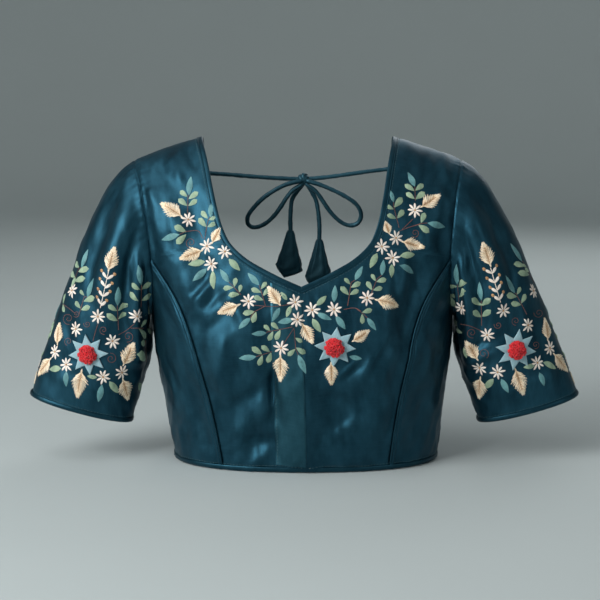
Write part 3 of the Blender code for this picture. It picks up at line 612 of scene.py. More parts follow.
# across, height
SHOULDER_LINE = [(60, 365), (107, 359), (145.5, 348), (182, 334), (205, 322)]
NECK_FRONT = [
    (0, 204.5), (22, 214), (41, 223.5), (54.5, 231), (66.5, 240), (77.5, 252), (86, 272), (90.8, 291),
    (95, 311), (98, 326), (102, 343), (107, 359)
]
NECK_BACK = [
    (0, 140), (22, 141.5), (46, 147), (72, 161), (91, 185), (101, 220), (106, 260), (108, 300), (108, 335),
    (107, 359)
]
# height, across
ARMHOLE = [
    (162, 168), (170, 166.2), (185, 164.2), (204, 163.2), (230, 164), (270, 168), (304, 173.5), (334, 182)
]
PRINCESS = [
    (0, 90.5), (32, 95), (69, 101), (108, 108.5), (151, 119.8), (183, 132.5), (209, 148.5), (230, 164)
]
FRONT_FOLDS = [Fold(*row) for row in (
    (-150, 305, -128, 232, 11, 4.4), (-128, 318, -106, 250, 13, -3.9), (-143, 240, -104, 176, 12, 3.9),
    (-112, 238, -84, 182, 10, -3.4), (-84, 205, -48, 150, 12, 3.1), (-36, 118, -34, 62, 8, -3.9),
    (-76, 88, -52, 22, 13, -4.2), (-92, 118, -66, 64, 12, 3.6), (-124, 96, -112, 26, 13, -3.9),
    (-16, 110, -12, 20, 12, 2.9), (150, 306, 132, 236, 11, 3.9), (124, 322, 112, 246, 14, -3.6),
    (128, 222, 108, 140, 12, -3.9), (84, 214, 88, 150, 12, 3.4), (62, 96, 30, 54, 12, -3.1),
    (78, 128, 44, 74, 12, 3.4), (128, 88, 118, 20, 13, -3.9), (26, 60, 62, 14, 13, 2.9),
)]
FRONT_CREASES = [Fold(*row) for row in (
    (-160, 303, -150, 240, 5, 2.4), (-150, 298, -138, 236, 4, -1.6), (-104, 236, -92, 222, 4, -1.6),
    (-86, 69, -41, 98, 9, -3.6), (-72, 46, -35, 79, 9, 3.5), (-66, 31, -33, 37, 9, -3.6),
    (-78, 13, -33, 15, 9, 1.2), (-33, 116, -35, 79, 3, -3.4), (-41, 118, -43, 81, 9, 1.6),
    (-86, 152, -92, 98, 10, 2.6), (-68, 150, -66, 102, 12, -2.4), (27, 118, 24, 90, 7, 2.6),
    (16, 90, 46, 73, 9, -2.6), (39, 109, 58, 127, 3, 1.8), (44, 106, 61, 122, 4, -1.6),
    (61, 106, 91, 154, 4, 1.6), (69, 106, 97, 150, 6, -1.8), (29, 39, 58, 59, 7, 1.4),
    (26, 47, 54, 67, 9, -2.4), (81, 118, 75, 37, 14, 2.8), (101, 81, 93, 21, 9, -2.0),
    (18, 21, 65, 15, 10, 1.6), (-114, 190, -92, 210, 3.4, 2.2), (-118, 196, -100, 217, 3.2, -2.4),
    (-104, 182, -82, 204, 4, -2.0), (-94, 178, -68, 198, 6, 2.0), (-80, 190, -72, 166, 7, -2.2),
    (-142, 338, -128, 318, 6, 1.8), (-122, 347, -112, 330, 5, -1.6), (-132, 320, -120, 302, 5, 1.6),
    (-152, 330, -140, 308, 5, -1.5), (126, 258, 128, 200, 4.5, -2.4), (112, 250, 108, 190, 6, 1.8),
    (136, 330, 120, 300, 5, 1.6), (152, 320, 142, 280, 5, -1.8), (96, 150, 84, 96, 7, 1.8),
)]
SLEEVE_CREASES = [Fold(*row) for row in (
    (-40, 22, -58, 120, 6, 2.2), (-56, 24, -70, 130, 5, -2.4), (-26, 18, -40, 96, 5, -1.8),
    (14, 26, -6, 120, 6, 1.6), (-30, 150, -4, 172, 5, -2.2), (-42, 168, -6, 190, 6, 1.8),
    (38, 60, 26, 150, 7, -1.4), (-16, 250, 30, 262, 8, 1.4), (40, 240, 8, 225, 7, -1.2),
    (-70, 150, -50, 220, 7, 1.8), (120, 60, 108, 170, 7, 2.0), (-120, 80, -110, 190, 7, -2.0),
)]
SLEEVE_FOLDS = [Fold(*row) for row in (
    (-18, 34, -44, 176, 13, 6.8), (2, 26, -24, 150, 11, -5.9), (26, 22, 8, 132, 13, 5.9),
    (50, 28, 40, 118, 12, -3.8), (-58, 60, -72, 190, 12, -4.9), (34, 190, 52, 262, 15, -3.0),
    (-20, 200, -10, 270, 16, 3.0), (118, 40, 128, 170, 14, -4.9), (144, 36, 156, 160, 13, 5.1),
    (-126, 48, -142, 168, 14, -4.6),
)]
# across, height, radius, rise
BUST = (72.0, 146.0, 48.0, 6.5)


class Form:
    """The filled-out shape that the cloth keeps: level sections for the trunk and rings for the sleeves."""

    half_width = Curve(SECTIONS[:, [0, 1]])
    front = Curve(SECTIONS[:, [0, 2]])
    back = Curve(SECTIONS[:, [0, 3]])
    shoulder = Curve(SHOULDER_LINE)
    armhole = Curve(ARMHOLE)
    princess = Curve(PRINCESS)
    neck_front = Curve(NECK_FRONT)
    neck_back = Curve(NECK_BACK[:7])
    sleeve = [Curve(SLEEVE[:, [0, i]]) for i in range(1, 7)]

    @classmethod
    def angle(cls, across: Array, height: Array) -> Array:
        """The turn round a section, from the centre line."""
        share = np.minimum(np.abs(across) / cls.half_width(height), 1.0)
        return np.arcsin(share ** (SECTION_POWER / 2))

    @classmethod
    def across(cls, angle: Array, height: Array) -> Array:
        """The distance from the centre line at a turn."""
        return cls.half_width(height) * np.sin(angle) ** (2 / SECTION_POWER)

    @classmethod
    def trunk(cls, side: int, facing: int, angle: Array, height: Array) -> Array:
        """Points of the trunk's inner face; facing is -1 for the front and 1 for the back.

        Args:
            side: the sign of x on its side.
            facing: -1 for the front, 1 for the back.
            angle: turns round the section.
            height: heights above the hem.

        Returns:
            The points.
        """
        across = cls.across(angle, height)
        depth = (cls.front if facing < 0 else cls.back)(height)
        depth = depth * np.clip(np.cos(angle), 0.0, 1.0) ** (2 / SECTION_POWER)
        below = np.clip((cls.shoulder(across) - height) / SHOULDER_ROLL, 0.0, 1.0)
        depth = depth * np.sqrt(np.maximum(1 - (1 - below) ** 2, 0.0))
        rise = np.zeros_like(depth)
        if facing < 0:
            keep = smoothstep(below / 0.3) * smoothstep((math.pi / 2 - angle) / 0.45)
            bust = ((across - BUST[0]) ** 2 + (height - BUST[1]) ** 2) / BUST[2] ** 2
            rise = keep * (fold_rise(FRONT_FOLDS, side * across, height) + BUST[3] * np.exp(-bust))
        x = side * (across + rise * np.sin(angle))
        y = facing * (depth + rise * np.cos(angle))
        return np.stack([x, y, height + 0.0 * x], axis=-1)


class Line:
    """A line on the trunk, read at equal lengths."""

    def __init__(self, facing: int, angle: Array, height: Array) -> None:
        """Takes close places along the line.

        Args:
            facing: -1 for the front, 1 for the back.
            angle: turns round the section.
            height: their heights.
        """
        points = Form.trunk(1, facing, angle, height)
        along = run_of(points)
        self.share, self.angle, self.height = along / along[-1], angle, height

    def at(self, t: Array) -> tuple[Array, Array]:
        """The angle and height at a share of the line's length."""
        return np.interp(t, self.share, self.angle), np.interp(t, self.share, self.height)


def armhole_line(facing: int, low: float, high: float) -> Line:
    """The armhole between two heights, bottom to top."""
    height = np.linspace(low, high, 1601)
    return Line(facing, Form.angle(Form.armhole(height), height), height)


def neck_line(rows: Sequence[tuple[float, float]], facing: int, start: float) -> Line:
    """A neckline from the place whose x is start up to the shoulder.

    Args:
        rows: the neckline's x and height, from the centre up.
        facing: -1 for the front, 1 for the back.
        start: the x to start from.

    Returns:
        The line.
    """
    share = np.linspace(0, 1, len(rows))
    across = Curve(zip(share, [row[0] for row in rows], strict=True))
    height = Curve(zip(share, [row[1] for row in rows], strict=True))
    t = np.linspace(0, 1, 4001)
    first = int(np.argmax(across(t) >= start))
    t = t[first:]
    return Line(facing, Form.angle(across(t), height(t)), height(t))


class Panel:
    """A piece of cloth as a fine grid of points by row and column."""

    def __init__(self, name: str, rows: Array, cols: Array, side: int, turned: bool, turns: int = 0) -> None:
        """Cuts the panel.

        Args:
            name: the CAD node that it dresses.
            rows: its rows, in the CAD grid's units.
            cols: its columns.
            side: the sign of x on its side.
            turned: whether its faces are turned round.
            turns: the columns of a sleeve that closes on itself, or 0.
        """
        self.name, self.rows, self.cols = name, rows, cols
        self.side, self.turned, self.turns = side, turned, turns
        row, col = np.meshgrid(rows, cols, indexing="ij")
        self.row, self.col = row, col
        self.points = self.surface(row, col)
        middle_row, middle_col = (rows[1:] + rows[:-1]) / 2, (cols[1:] + cols[:-1]) / 2
        self.cells = self.has(*np.meshgrid(middle_row, middle_col, indexing="ij"))
        self.normals = np.zeros_like(self.points)
        self.rise = np.zeros(self.row.shape)

    def surface(self, row: Array, col: Array) -> Array:
        """The cloth's inner face at rows and columns."""
        raise NotImplementedError

    def has(self, row: Array, col: Array) -> Array:
        """Whether there is cloth at rows and columns."""
        return np.ones(row.shape, bool)

    def face_normals(self) -> Array:
        """The outward normal of each cell, at its size."""
        p = self.points
        if self.turns:
            p = np.concatenate([p, p[:, :1]], axis=1)
        normal = np.cross(p[1:, 1:] - p[:-1, :-1], p[1:, :-1] - p[:-1, 1:])
        return -normal if self.turned else normal

    def add_normals(self, found: dict) -> None:
        """Adds each cell's normal to its corners, by place, so that neighbours share them.

        Args:
            found: normals by place.
        """
        normal = self.face_normals()
        count = self.points.shape[1]
        total = np.zeros_like(self.points)
        cells = np.argwhere(self.cells) if not self.turns else np.argwhere(np.ones(normal.shape[:2], bool))
        for j, i in cells:
            for dj, di in ((0, 0), (0, 1), (1, 0), (1, 1)):
                total[j + dj, (i + di) % count if self.turns else i + di] += normal[j, i]
        for place, value in zip(np.round(self.points, 2).reshape(-1, 3), total.reshape(-1, 3), strict=True):
            key = tuple(place + 0.0)
            found[key] = found.get(key, 0.0) + value

    def take_normals(self, found: dict) -> None:
        """Takes the shared normals, level along the hem.

        Args:
            found: normals by place.
        """
        keys = np.round(self.points, 2).reshape(-1, 3)
        normals = np.array([found[tuple(key + 0.0)] for key in keys]).reshape(self.points.shape)
        if not self.turns:
            normals[0, :, 2] = 0.0
        self.normals = unit(normals)

    def run(self, axis: int, from_end: bool) -> Array:
        """The distance of every point from the first or last row (axis 0) or column (axis 1).

        Args:
            axis: 0 for rows, 1 for columns.
            from_end: whether to measure from the last one.

        Returns:
            The distances.
        """
        step = np.linalg.norm(np.diff(self.points, axis=axis), axis=-1)
        zero = np.zeros((1, step.shape[1]) if axis == 0 else (step.shape[0], 1))
        along = np.concatenate([zero, np.cumsum(step, axis=axis)], axis=axis)
        if not from_end:
            return along
        last = along[-1:] if axis == 0 else along[:, -1:]
        return last - along

    def seam(self, away: Array, along: Array, seed: int, depth: float = 0.8, gather: float = 0.35) -> None:
        """Sinks the cloth along a seam and puckers it beside it.

        Args:
            away: the distance from the seam.
            along: the distance along it.
            seed: which pattern to make.
            depth: how deep it sinks.
            gather: how high its puckers stand.
        """
        wave = np.sin(math.tau * along / 7.3 + 2.0 * np.sin(along / 23.0 + seed))
        wave = wave + 0.6 * np.sin(math.tau * along / 11.9 + seed)
        self.rise -= depth * np.exp(-((away / 1.7) ** 2))
        self.rise += gather * wave * np.exp(-away / 7.0) * smoothstep(away / 2.0)

    def calm(self, away: Array) -> None:
        """Takes the cloth's unevenness down to nothing at a seam, so that both sides meet."""
        self.rise *= smoothstep(away / CALM)

    def dress_seams(self) -> None:
        """Adds the seams and the cloth's unevenness."""
        raise NotImplementedError

    def outer(self) -> Array:
        """The outer face."""
        return self.points + self.normals * (WALL + self.rise[..., None])

    def normal_at(self, row: Any, col: Any) -> Array:
        """The outward normal at rows and columns."""
        return unit(self.read(self.normals, row, col))

    def read(self, values: Array, row: Any, col: Any) -> Array:
        """Reads a grid of values between its rows and columns.

        Args:
            values: a grid of values.
            row: rows of the places.
            col: columns of the places.

        Returns:
            The values there.
        """
        row, col = np.broadcast_arrays(np.asarray(row, float), np.asarray(col, float))
        cols = self.cols
        if self.turns:
            values = np.concatenate([values, values[:, :1]], axis=1)
            cols = np.append(cols, self.turns)
            col = col % self.turns
        j = np.clip(np.searchsorted(self.rows, row, side="right") - 1, 0, len(self.rows) - 2)
        i = np.clip(np.searchsorted(cols, col, side="right") - 1, 0, len(cols) - 2)
        t = ((row - self.rows[j]) / (self.rows[j + 1] - self.rows[j]))[..., None]
        s = ((col - cols[i]) / (cols[i + 1] - cols[i]))[..., None]
        low = values[j, i] * (1 - s) + values[j, i + 1] * s
        high = values[j + 1, i] * (1 - s) + values[j + 1, i + 1] * s
        return low * (1 - t) + high * t

    def build(self) -> bpy.types.Object:
        """Makes the cloth: its satin face, its lining, and the edge between them."""
        outer, inner = self.outer(), self.points + self.normals * (LINING_GAP + self.rise[..., None])
        rows, count = self.row.shape
        used = np.zeros(self.row.shape, bool)
        turns = count if self.turns else count - 1
        quads, rims = [], {}
        for j in range(rows - 1):
            for i in range(turns):
                if not self.turns and not self.cells[j, i]:
                    continue
                k = (i + 1) % count
                ring = [j * count + i, j * count + k, (j + 1) * count + k, (j + 1) * count + i]
                if self.turned:
                    ring = ring[::-1]
                quads.append(tuple(ring))
                for m in range(4):
                    pair = (ring[m], ring[(m + 1) % 4])
                    rims.setdefault(frozenset(pair), []).append(pair)
                used[j, i] = used[j, k] = used[j + 1, i] = used[j + 1, k] = True
        size = rows * count
        faces = quads + [tuple(n + size for n in quad[::-1]) for quad in quads]
        slots = [0] * len(quads) + [1] * len(quads)
        for pairs in rims.values():
            if len(pairs) == 1:
                a, b = pairs[0]
                faces.append((b, a, a + size, b + size))
                slots.append(0)
        renumber = np.cumsum(np.tile(used.ravel(), 2)) - 1
        keep = np.tile(used.ravel(), 2)
        points = np.concatenate([outer.reshape(-1, 3), inner.reshape(-1, 3)])[keep]
        faces = [tuple(int(renumber[n]) for n in face) for face in faces]
        piece = make_object(f"{self.name}_cloth", stand(points), faces, [Finish.SILK, Finish.LINING], 70.0)
        piece.data.polygons.foreach_set("material_index", slots)
        across, along = self.run(1, False), self.run(0, False)
        cloth = np.stack([across, along], axis=-1).reshape(-1, 2) * MM
        add_uv(piece, np.concatenate([cloth, cloth])[keep])
        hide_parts(self.name)
        self.outer_quads = quads
        return piece

    def flat_area(self) -> float:
        """The panel's area in square metres."""
        size = np.linalg.norm(self.face_normals(), axis=-1) / 2
        return float(size[self.cells if not self.turns else slice(None)].sum()) * MM * MM


SEAM_STEPS = (0.05, 0.1, 0.22, 0.28, 0.4, 0.45)


def steps(stops: Sequence[float], count: int, close: Sequence[float] = ()) -> Array:
    """Even steps between whole stops, with extra ones close to some of them.

    Args:
        stops: whole columns or rows.
        count: steps in each of them.
        close: stops at a seam.

    Returns:
        The rows or columns of the fine cloth.
    """
    even = np.concatenate(
        [np.linspace(a, b, round((b - a) * count) + 1) for a, b in zip(stops[:-1], stops[1:], strict=True)]
    )
    extra = [at + sign * gap for at in close for gap in SEAM_STEPS for sign in (-1, 1)]
    extra = [value for value in extra if stops[0] < value < stops[-1]]
    return np.unique(np.round(np.concatenate([even, extra]), 5))


class FrontPanel(Panel):
    """A centre front, from the centre line and neckline to the princess seam and armhole."""

    def __init__(self, hand: Hand) -> None:
        """Cuts the panel for one side.

        Args:
            hand: the wearer's side.
        """
        self.neck = neck_line(NECK_FRONT, -1, self.column(NECK_COLUMN, PRINCESS_EDGE))
        self.arm = armhole_line(-1, PRINCESS_TOP, SHOULDER_TIP)
        rows = steps([0, HEM_ROWS, HEM_ROWS + ARM_ROWS], FINE)
        cols = steps([0, NECK_COLUMN, PANEL_COLUMNS], FINE, [0, PANEL_COLUMNS])
        super().__init__(f"front_{hand.word}", rows, cols, hand.value, hand is Hand.RIGHT)

    @staticmethod
    def column(col: Any, edge: Any) -> Array:
        """The x of a column where the princess seam is at edge.

        Args:
            col: columns of the places.
            edge: the x of the princess seam.

        Returns:
            The x.
        """
        fixed = PLACKET_COLUMNS * PLACKET_STEP
        loose = fixed + (edge - fixed) * (
            np.asarray(col) - PLACKET_COLUMNS
        ) / (PANEL_COLUMNS - PLACKET_COLUMNS)
        return np.where(np.asarray(col) <= PLACKET_COLUMNS, np.asarray(col) * PLACKET_STEP, loose)

    def surface(self, row: Array, col: Array) -> Array:
        """The cloth's inner face at rows and columns.

        Args:
            row: rows of the places.
            col: columns of the places.

        Returns:
            The points.
        """
        rise = np.clip(row / HEM_ROWS, 0, 1)
        corner = self.column(NECK_COLUMN, PRINCESS_EDGE)
        x = self.column(col, PRINCESS_EDGE)
        share = (x - corner) / (PRINCESS_EDGE - corner)
        foot = self.neck.at(0.0)[1]
        top = np.where(col < NECK_COLUMN, Form.neck_front(x), foot + (PRINCESS_TOP - foot) * share)
        z = top * rise
        low = Form.trunk(
            self.side, -1, Form.angle(self.column(col, Form.princess(PRINCESS_TOP * rise)), z), z
        )
        return np.where((row <= HEM_ROWS)[..., None], low, strap(self, row, col, -1))

    def has(self, row: Array, col: Array) -> Array:
        """Whether there is cloth at rows and columns."""
        return (row < HEM_ROWS) | (col > NECK_COLUMN)

    def dress_seams(self) -> None:
        """Adds the princess, armhole and shoulder seams and the cloth's unevenness."""
        along = self.run(0, False)
        x, z = self.points[..., 0], self.points[..., 2]
        creases = 1.15 * fold_rise(FRONT_CREASES, x, z) * smoothstep(self.run(0, True) / 10)
        self.rise += unevenness(x, z, 11, 22.0, 60.0, 0.9) + creases
        self.rise += creasing(x, z, 3, 0.95, 0.25 * self.side)
        tent = Curve([(-60, 0), (-40, -2.5), (-33, -3.5), (0, 5.4), (26, -2.5), (44, -1.5), (70, 0)])(x)
        tent = tent * smoothstep((z + 8) / 30) * smoothstep((165 - z) / 70)
        self.rise += tent
        edge = [
            self.points[self.rows == HEM_ROWS][:, self.cols <= NECK_COLUMN],
            self.points[self.rows > HEM_ROWS][:, self.cols == NECK_COLUMN]
        ]
        edge = np.concatenate([part.reshape(-1, 3) for part in edge])
        away = np.min(np.linalg.norm(self.points[:, :, None] - edge, axis=-1), axis=-1)
        self.rise *= 0.1 + 0.9 * smoothstep((away - 3) / 11)
        self.calm(self.run(1, True))
        self.calm(self.run(0, True))
        self.seam(self.run(1, True), along[:, -1:] + 0 * along, 3 + self.side)
        self.seam(self.run(0, True), self.run(1, True), 5, 0.5, 0.15)


def strap(panel: Any, row: Array, col: Array, facing: int) -> Array:
    """A strap's inner face, from the neck edge to the armhole, arched up to the shoulder line.

    Args:
        panel: the panel that it belongs to.
        row: rows of the places.
        col: columns of the places.
        facing: -1 for the front, 1 for the back.

    Returns:
        Its points.
    """
    share = np.clip((row - HEM_ROWS) / ARM_ROWS, 0, 1)
    t = np.clip((np.abs(col) - NECK_COLUMN) / (PANEL_COLUMNS - NECK_COLUMN), 0, 1)
    start, end = panel.neck.at(share), panel.arm.at(share)
    angle = start[0] + (end[0] - start[0]) * t
    height = start[1] + (end[1] - start[1]) * t
    tops = [Form.shoulder(Form.across(*place)) for place in (start, end)]
    lift = Form.shoulder(Form.across(angle, height)) - tops[0] - (tops[1] - tops[0]) * t
    height = height + share * lift
    if facing < 0:
        return Form.trunk(panel.side, facing, angle, height)
    both = [Form.trunk(side, facing, angle, height) for side in (1, -1)]
    return np.where((col >= 0)[..., None], *both)


class SidePanel(Panel):
    """A side front, from the princess seam to the side seam, with the lower armhole as its top."""

    def __init__(self, hand: Hand) -> None:
        """Cuts the panel for one side.

        Args:
            hand: the wearer's side.
        """
        self.low = armhole_line(-1, UNDERARM, PRINCESS_TOP)
        rows = steps([0, HEM_ROWS], FINE, [HEM_ROWS])
        cols = steps([0, SIDE_COLUMNS], FINE, [0, SIDE_COLUMNS])
        super().__init__(f"side_front_{hand.word}", rows, cols, hand.value, hand is Hand.RIGHT)

    def surface(self, row: Array, col: Array) -> Array:
        """The cloth's inner face at rows and columns.

        Args:
            row: rows of the places.
            col: columns of the places.

        Returns:
            The points.
        """
        rise, t = row / HEM_ROWS, col / SIDE_COLUMNS
        angle_top, height_top = self.low.at(1 - t)
        first = self.low.at(1.0)[0]
        evened = first + (math.pi / 2 - first) * t
        seam = PRINCESS_TOP * rise
        start = Form.angle(Form.princess(seam), seam)
        angle = start + (math.pi / 2 - start) * t + (angle_top - evened) * smoothstep((rise - 0.4) / 0.6)
        return Form.trunk(self.side, -1, angle, height_top * rise)

    def dress_seams(self) -> None:
        """Adds the princess, side and armhole seams and the cloth's unevenness."""
        along = self.run(0, False)
        self.rise += unevenness(
            self.points[..., 0] + self.points[..., 1], self.points[..., 2], 17, 16.0, 50.0, 0.5
        )
        self.rise += creasing(self.side * self.run(1, False), self.points[..., 2], 8, 0.8)
        away = self.run(1, False)
        for seam in (away, self.run(1, True), self.run(0, True)):
            self.calm(seam)
        self.seam(away, along[:, :1] + 0 * along, 4 + self.side)
        band = 1.3 * smoothstep(away / 1.8) * (1 - smoothstep((away - 4.6) / 1.2))
        self.rise += band - 0.9 * np.exp(-(((away - 5.8) / 0.9) ** 2))
        self.seam(self.run(1, True), along[:, -1:] + 0 * along, 8 + self.side, 0.5, 0.3)
        self.seam(self.run(0, True), self.run(1, True), 6)


class BackPanel(Panel):
    """The back in one piece, with a deep neckline and two straps."""

    def __init__(self) -> None:
        """Cuts the panel."""
        self.neck = neck_line(NECK_BACK, 1, BACK_CORNER)
        self.arm = armhole_line(1, PRINCESS_TOP, SHOULDER_TIP)
        self.low = armhole_line(1, UNDERARM, PRINCESS_TOP)
        rows = steps([0, HEM_ROWS, HEM_ROWS + ARM_ROWS], FINE)
        half = steps([0, NECK_COLUMN, PANEL_COLUMNS, BACK_COLUMNS], BACK_FINE, [BACK_COLUMNS, PANEL_COLUMNS])
        half = np.unique(np.concatenate([half, steps([PANEL_COLUMNS, BACK_COLUMNS], FINE)]))
        super().__init__("back", rows, np.unique(np.concatenate([-half, half])), 1, True)

    def surface(self, row: Array, col: Array) -> Array:
        """The cloth's inner face at rows and columns.

        Args:
            row: rows of the places.
            col: columns of the places.

        Returns:
            The points.
        """
        rise, place = np.clip(row / HEM_ROWS, 0, 1), np.abs(col)
        x = BACK_CORNER * place / NECK_COLUMN
        neck_z = Form.neck_back(x)
        t = (place - NECK_COLUMN) / (PANEL_COLUMNS - NECK_COLUMN)
        foot, arm = self.neck.at(0.0), self.arm.at(0.0)
        side = self.low.at(1 - (place - PANEL_COLUMNS) / SIDE_COLUMNS)
        strap_foot = [a + (b - a) * t for a, b in zip(foot, arm, strict=True)]
        tops = []
        for neck, middle, outer in zip((Form.angle(x, neck_z), neck_z), strap_foot, side, strict=True):
            tops.append(np.where(place < NECK_COLUMN, neck, np.where(place <= PANEL_COLUMNS, middle, outer)))
        even = math.pi / 2 * place / BACK_COLUMNS
        angle = even + (tops[0] - even) * smoothstep(rise)
        both = [Form.trunk(hand, 1, angle, tops[1] * rise) for hand in (1, -1)]
        low = np.where((col >= 0)[..., None], *both)
        return np.where((row <= HEM_ROWS)[..., None], low, strap(self, row, col, 1))

    def has(self, row: Array, col: Array) -> Array:
        """Whether there is cloth at rows and columns."""
        place = np.abs(col)
        return (row < HEM_ROWS) | ((place > NECK_COLUMN) & (place < PANEL_COLUMNS))

    def dress_seams(self) -> None:
        """Adds the side, armhole and shoulder seams, the back darts and the cloth's unevenness."""
        along = self.run(0, False)
        x, z = self.points[..., 0], self.points[..., 2]
        self.rise += unevenness(x, z, 23, 18.0, 60.0, 0.6) + creasing(x, z, 12, 1.0)
        for sign in (-1, 1):
            self.rise += fold_rise(
                [
                    Fold(sign * 120, 250, sign * 96, 150, 13, 1.6),
                    Fold(sign * 66, 100, sign * 84, 20, 14, -1.8)
                ],
                x, z
            )
        for seam in (self.run(1, False), self.run(1, True), self.run(0, True)):
            self.calm(seam)
        for sign in (-1, 1):
            dart = np.abs(x - sign * (70 - 0.12 * z)) + np.maximum(z - 112, 0) * 2
            self.seam(dart, z, 9 + sign, 0.5, 0.2)
        self.seam(self.run(1, False), along[:, :1] + 0 * along, 1, 0.5, 0.3)
        self.seam(self.run(1, True), along[:, -1:] + 0 * along, 2, 0.5, 0.3)
        self.seam(self.run(0, True), self.run(1, True), 5, 0.5, 0.15)


class SleevePanel(Panel):
    """A sleeve as a tube to the cuff, with its columns from the shoulder tip round the front."""

    def __init__(self, hand: Hand) -> None:
        """Cuts the sleeve for one side.

        Args:
            hand: the wearer's side.
        """
        self.lines = {
            f: (armhole_line(f, PRINCESS_TOP, SHOULDER_TIP), armhole_line(f, UNDERARM, PRINCESS_TOP))
            for f in (-1, 1)
        }
        rows = steps([0, SLEEVE_ROWS], SLEEVE_FINE, [0])
        cols = np.linspace(0, SLEEVE_TURN, SLEEVE_TURN * FINE, endpoint=False)
        super().__init__(f"sleeve_{hand.word}", rows, cols, hand.value, hand is Hand.RIGHT, SLEEVE_TURN)

    def armhole(self, col: Array) -> Array:
        """The armhole's own points by column.

        Args:
            col: columns of the places.

        Returns:
            The points.
        """
        result = np.zeros((*col.shape, 3))
        for facing in (-1, 1):
            place = col if facing < 0 else SLEEVE_TURN - col
            high, low = self.lines[facing]
            upper = high.at(np.clip(1 - place / ARM_ROWS, 0, 1))
            lower = low.at(np.clip(1 - (place - ARM_ROWS) / SIDE_COLUMNS, 0, 1))
            angle = np.where(place <= ARM_ROWS, upper[0], lower[0])
            height = np.where(place <= ARM_ROWS, upper[1], lower[1])
            mine = (col <= SLEEVE_TURN / 2) if facing < 0 else (col > SLEEVE_TURN / 2)
            result = np.where(mine[..., None], Form.trunk(self.side, facing, angle, height), result)
        return result

    def ring(self, share: Array, col: Array) -> tuple[Array, Array]:
        """Rings of the sleeve before the armhole's own curve and the folds, and their middles.

        Args:
            share: how far along, from 0 to 1.
            col: columns of the places.

        Returns:
            The rings and their middles.
        """
        outer_x, outer_z, inner_x, inner_z, half_depth, middle_y = (curve(share) for curve in Form.sleeve)
        turn = math.tau * col / SLEEVE_TURN
        c, s = np.cos(turn), np.sin(turn)
        along = np.sign(c) * np.abs(c) ** (2 / SLEEVE_POWER)
        deep = np.sign(s) * np.abs(s) ** (2 / SLEEVE_POWER)
        x = (outer_x + inner_x) / 2 + (outer_x - inner_x) / 2 * along
        z = (outer_z + inner_z) / 2 + (outer_z - inner_z) / 2 * along
        middle = np.stack([self.side * (outer_x + inner_x) / 2, middle_y, (outer_z + inner_z) / 2], axis=-1)
        return np.stack([self.side * x, middle_y - half_depth * deep, z], axis=-1), middle

    def surface(self, row: Array, col: Array) -> Array:
        """The cloth's inner face at rows and columns.

        Args:
            row: rows of the places.
            col: columns of the places.

        Returns:
            The points.
        """
        share = (row / SLEEVE_ROWS) ** SLEEVE_STEP
        ring, middle = self.ring(share, col)
        first, _ = self.ring(0.0 * share, col)
        ring = ring + (self.armhole(col) - first) * (1 - smoothstep(share / CAP_SHARE))[..., None]
        keep = smoothstep(share / 0.12) * smoothstep((1 - share) / 0.08)
        across = (0.25 - col / SLEEVE_TURN) * SLEEVE_ROUND
        across = np.where(across < -SLEEVE_ROUND / 2, across + SLEEVE_ROUND, across)
        rise = keep * fold_rise(SLEEVE_FOLDS, across, share * SLEEVE_LENGTH)
        return ring + unit(ring - middle) * rise[..., None]

    def dress_seams(self) -> None:
        """Adds the armhole seam, the underarm seam and the cloth's unevenness."""
        share = (self.row / SLEEVE_ROWS) ** SLEEVE_STEP
        across, along = self.col / SLEEVE_TURN * SLEEVE_ROUND, share * SLEEVE_LENGTH
        wave = unevenness(across, along, 31 + self.side, 24.0, 60.0, 0.8)
        other = unevenness(across - SLEEVE_ROUND, along, 31 + self.side, 24.0, 60.0, 0.8)
        blend = smoothstep((self.col / SLEEVE_TURN - 0.85) / 0.15)
        wrapped = np.where(
            0.25 * SLEEVE_ROUND - across < -SLEEVE_ROUND / 2, 1.25 * SLEEVE_ROUND - across,
            0.25 * SLEEVE_ROUND - across
        )
        crease = [creasing(at, along, 21 + self.side, 0.35) for at in (across, across - SLEEVE_ROUND)]
        wave = (wave + crease[0]) * (1 - blend) + (other + crease[1]) * blend
        wave = wave + fold_rise(SLEEVE_CREASES, wrapped, along)
        self.rise += wave * smoothstep(along / 12) * smoothstep((SLEEVE_LENGTH - along) / 12)
        self.seam(self.run(0, False), across, 12 + self.side)
        self.seam(np.abs(self.col - SLEEVE_TURN / 2) * SLEEVE_ROUND / SLEEVE_TURN, along, 14, 0.4, 0.2)


@dataclass
class Cloth:
    """The seven panels, cut, sewn together and dressed."""

    panels: dict[str, Panel] = field(default_factory=dict)

    def build(self) -> None:
        for hand in Hand:
            for kind in (FrontPanel, SidePanel, SleevePanel):
                panel = kind(hand)
                self.panels[panel.name] = panel
        self.panels["back"] = BackPanel()
        found: dict = {}
        for panel in self.panels.values():
            panel.add_normals(found)
        for name, panel in self.panels.items():
            panel.take_normals(found)
            panel.dress_seams()
            piece = panel.build()
            area = panel.flat_area()
            width = float(np.median(panel.run(1, False)[:, -1])) * MM
            log.info("%s: %.0f square cm", name, area * 1e4)


class Area(Enum):
    """The areas that motifs are sewn on, with their panels."""

    FRONT = ("front_left", "front_right", "side_front_left", "side_front_right")
    SLEEVE_LEFT = ("sleeve_left",)
    SLEEVE_RIGHT = ("sleeve_right",)
    BACK = ("back",)
    TRUNK = ("front_left", "front_right", "side_front_left", "side_front_right", "back")


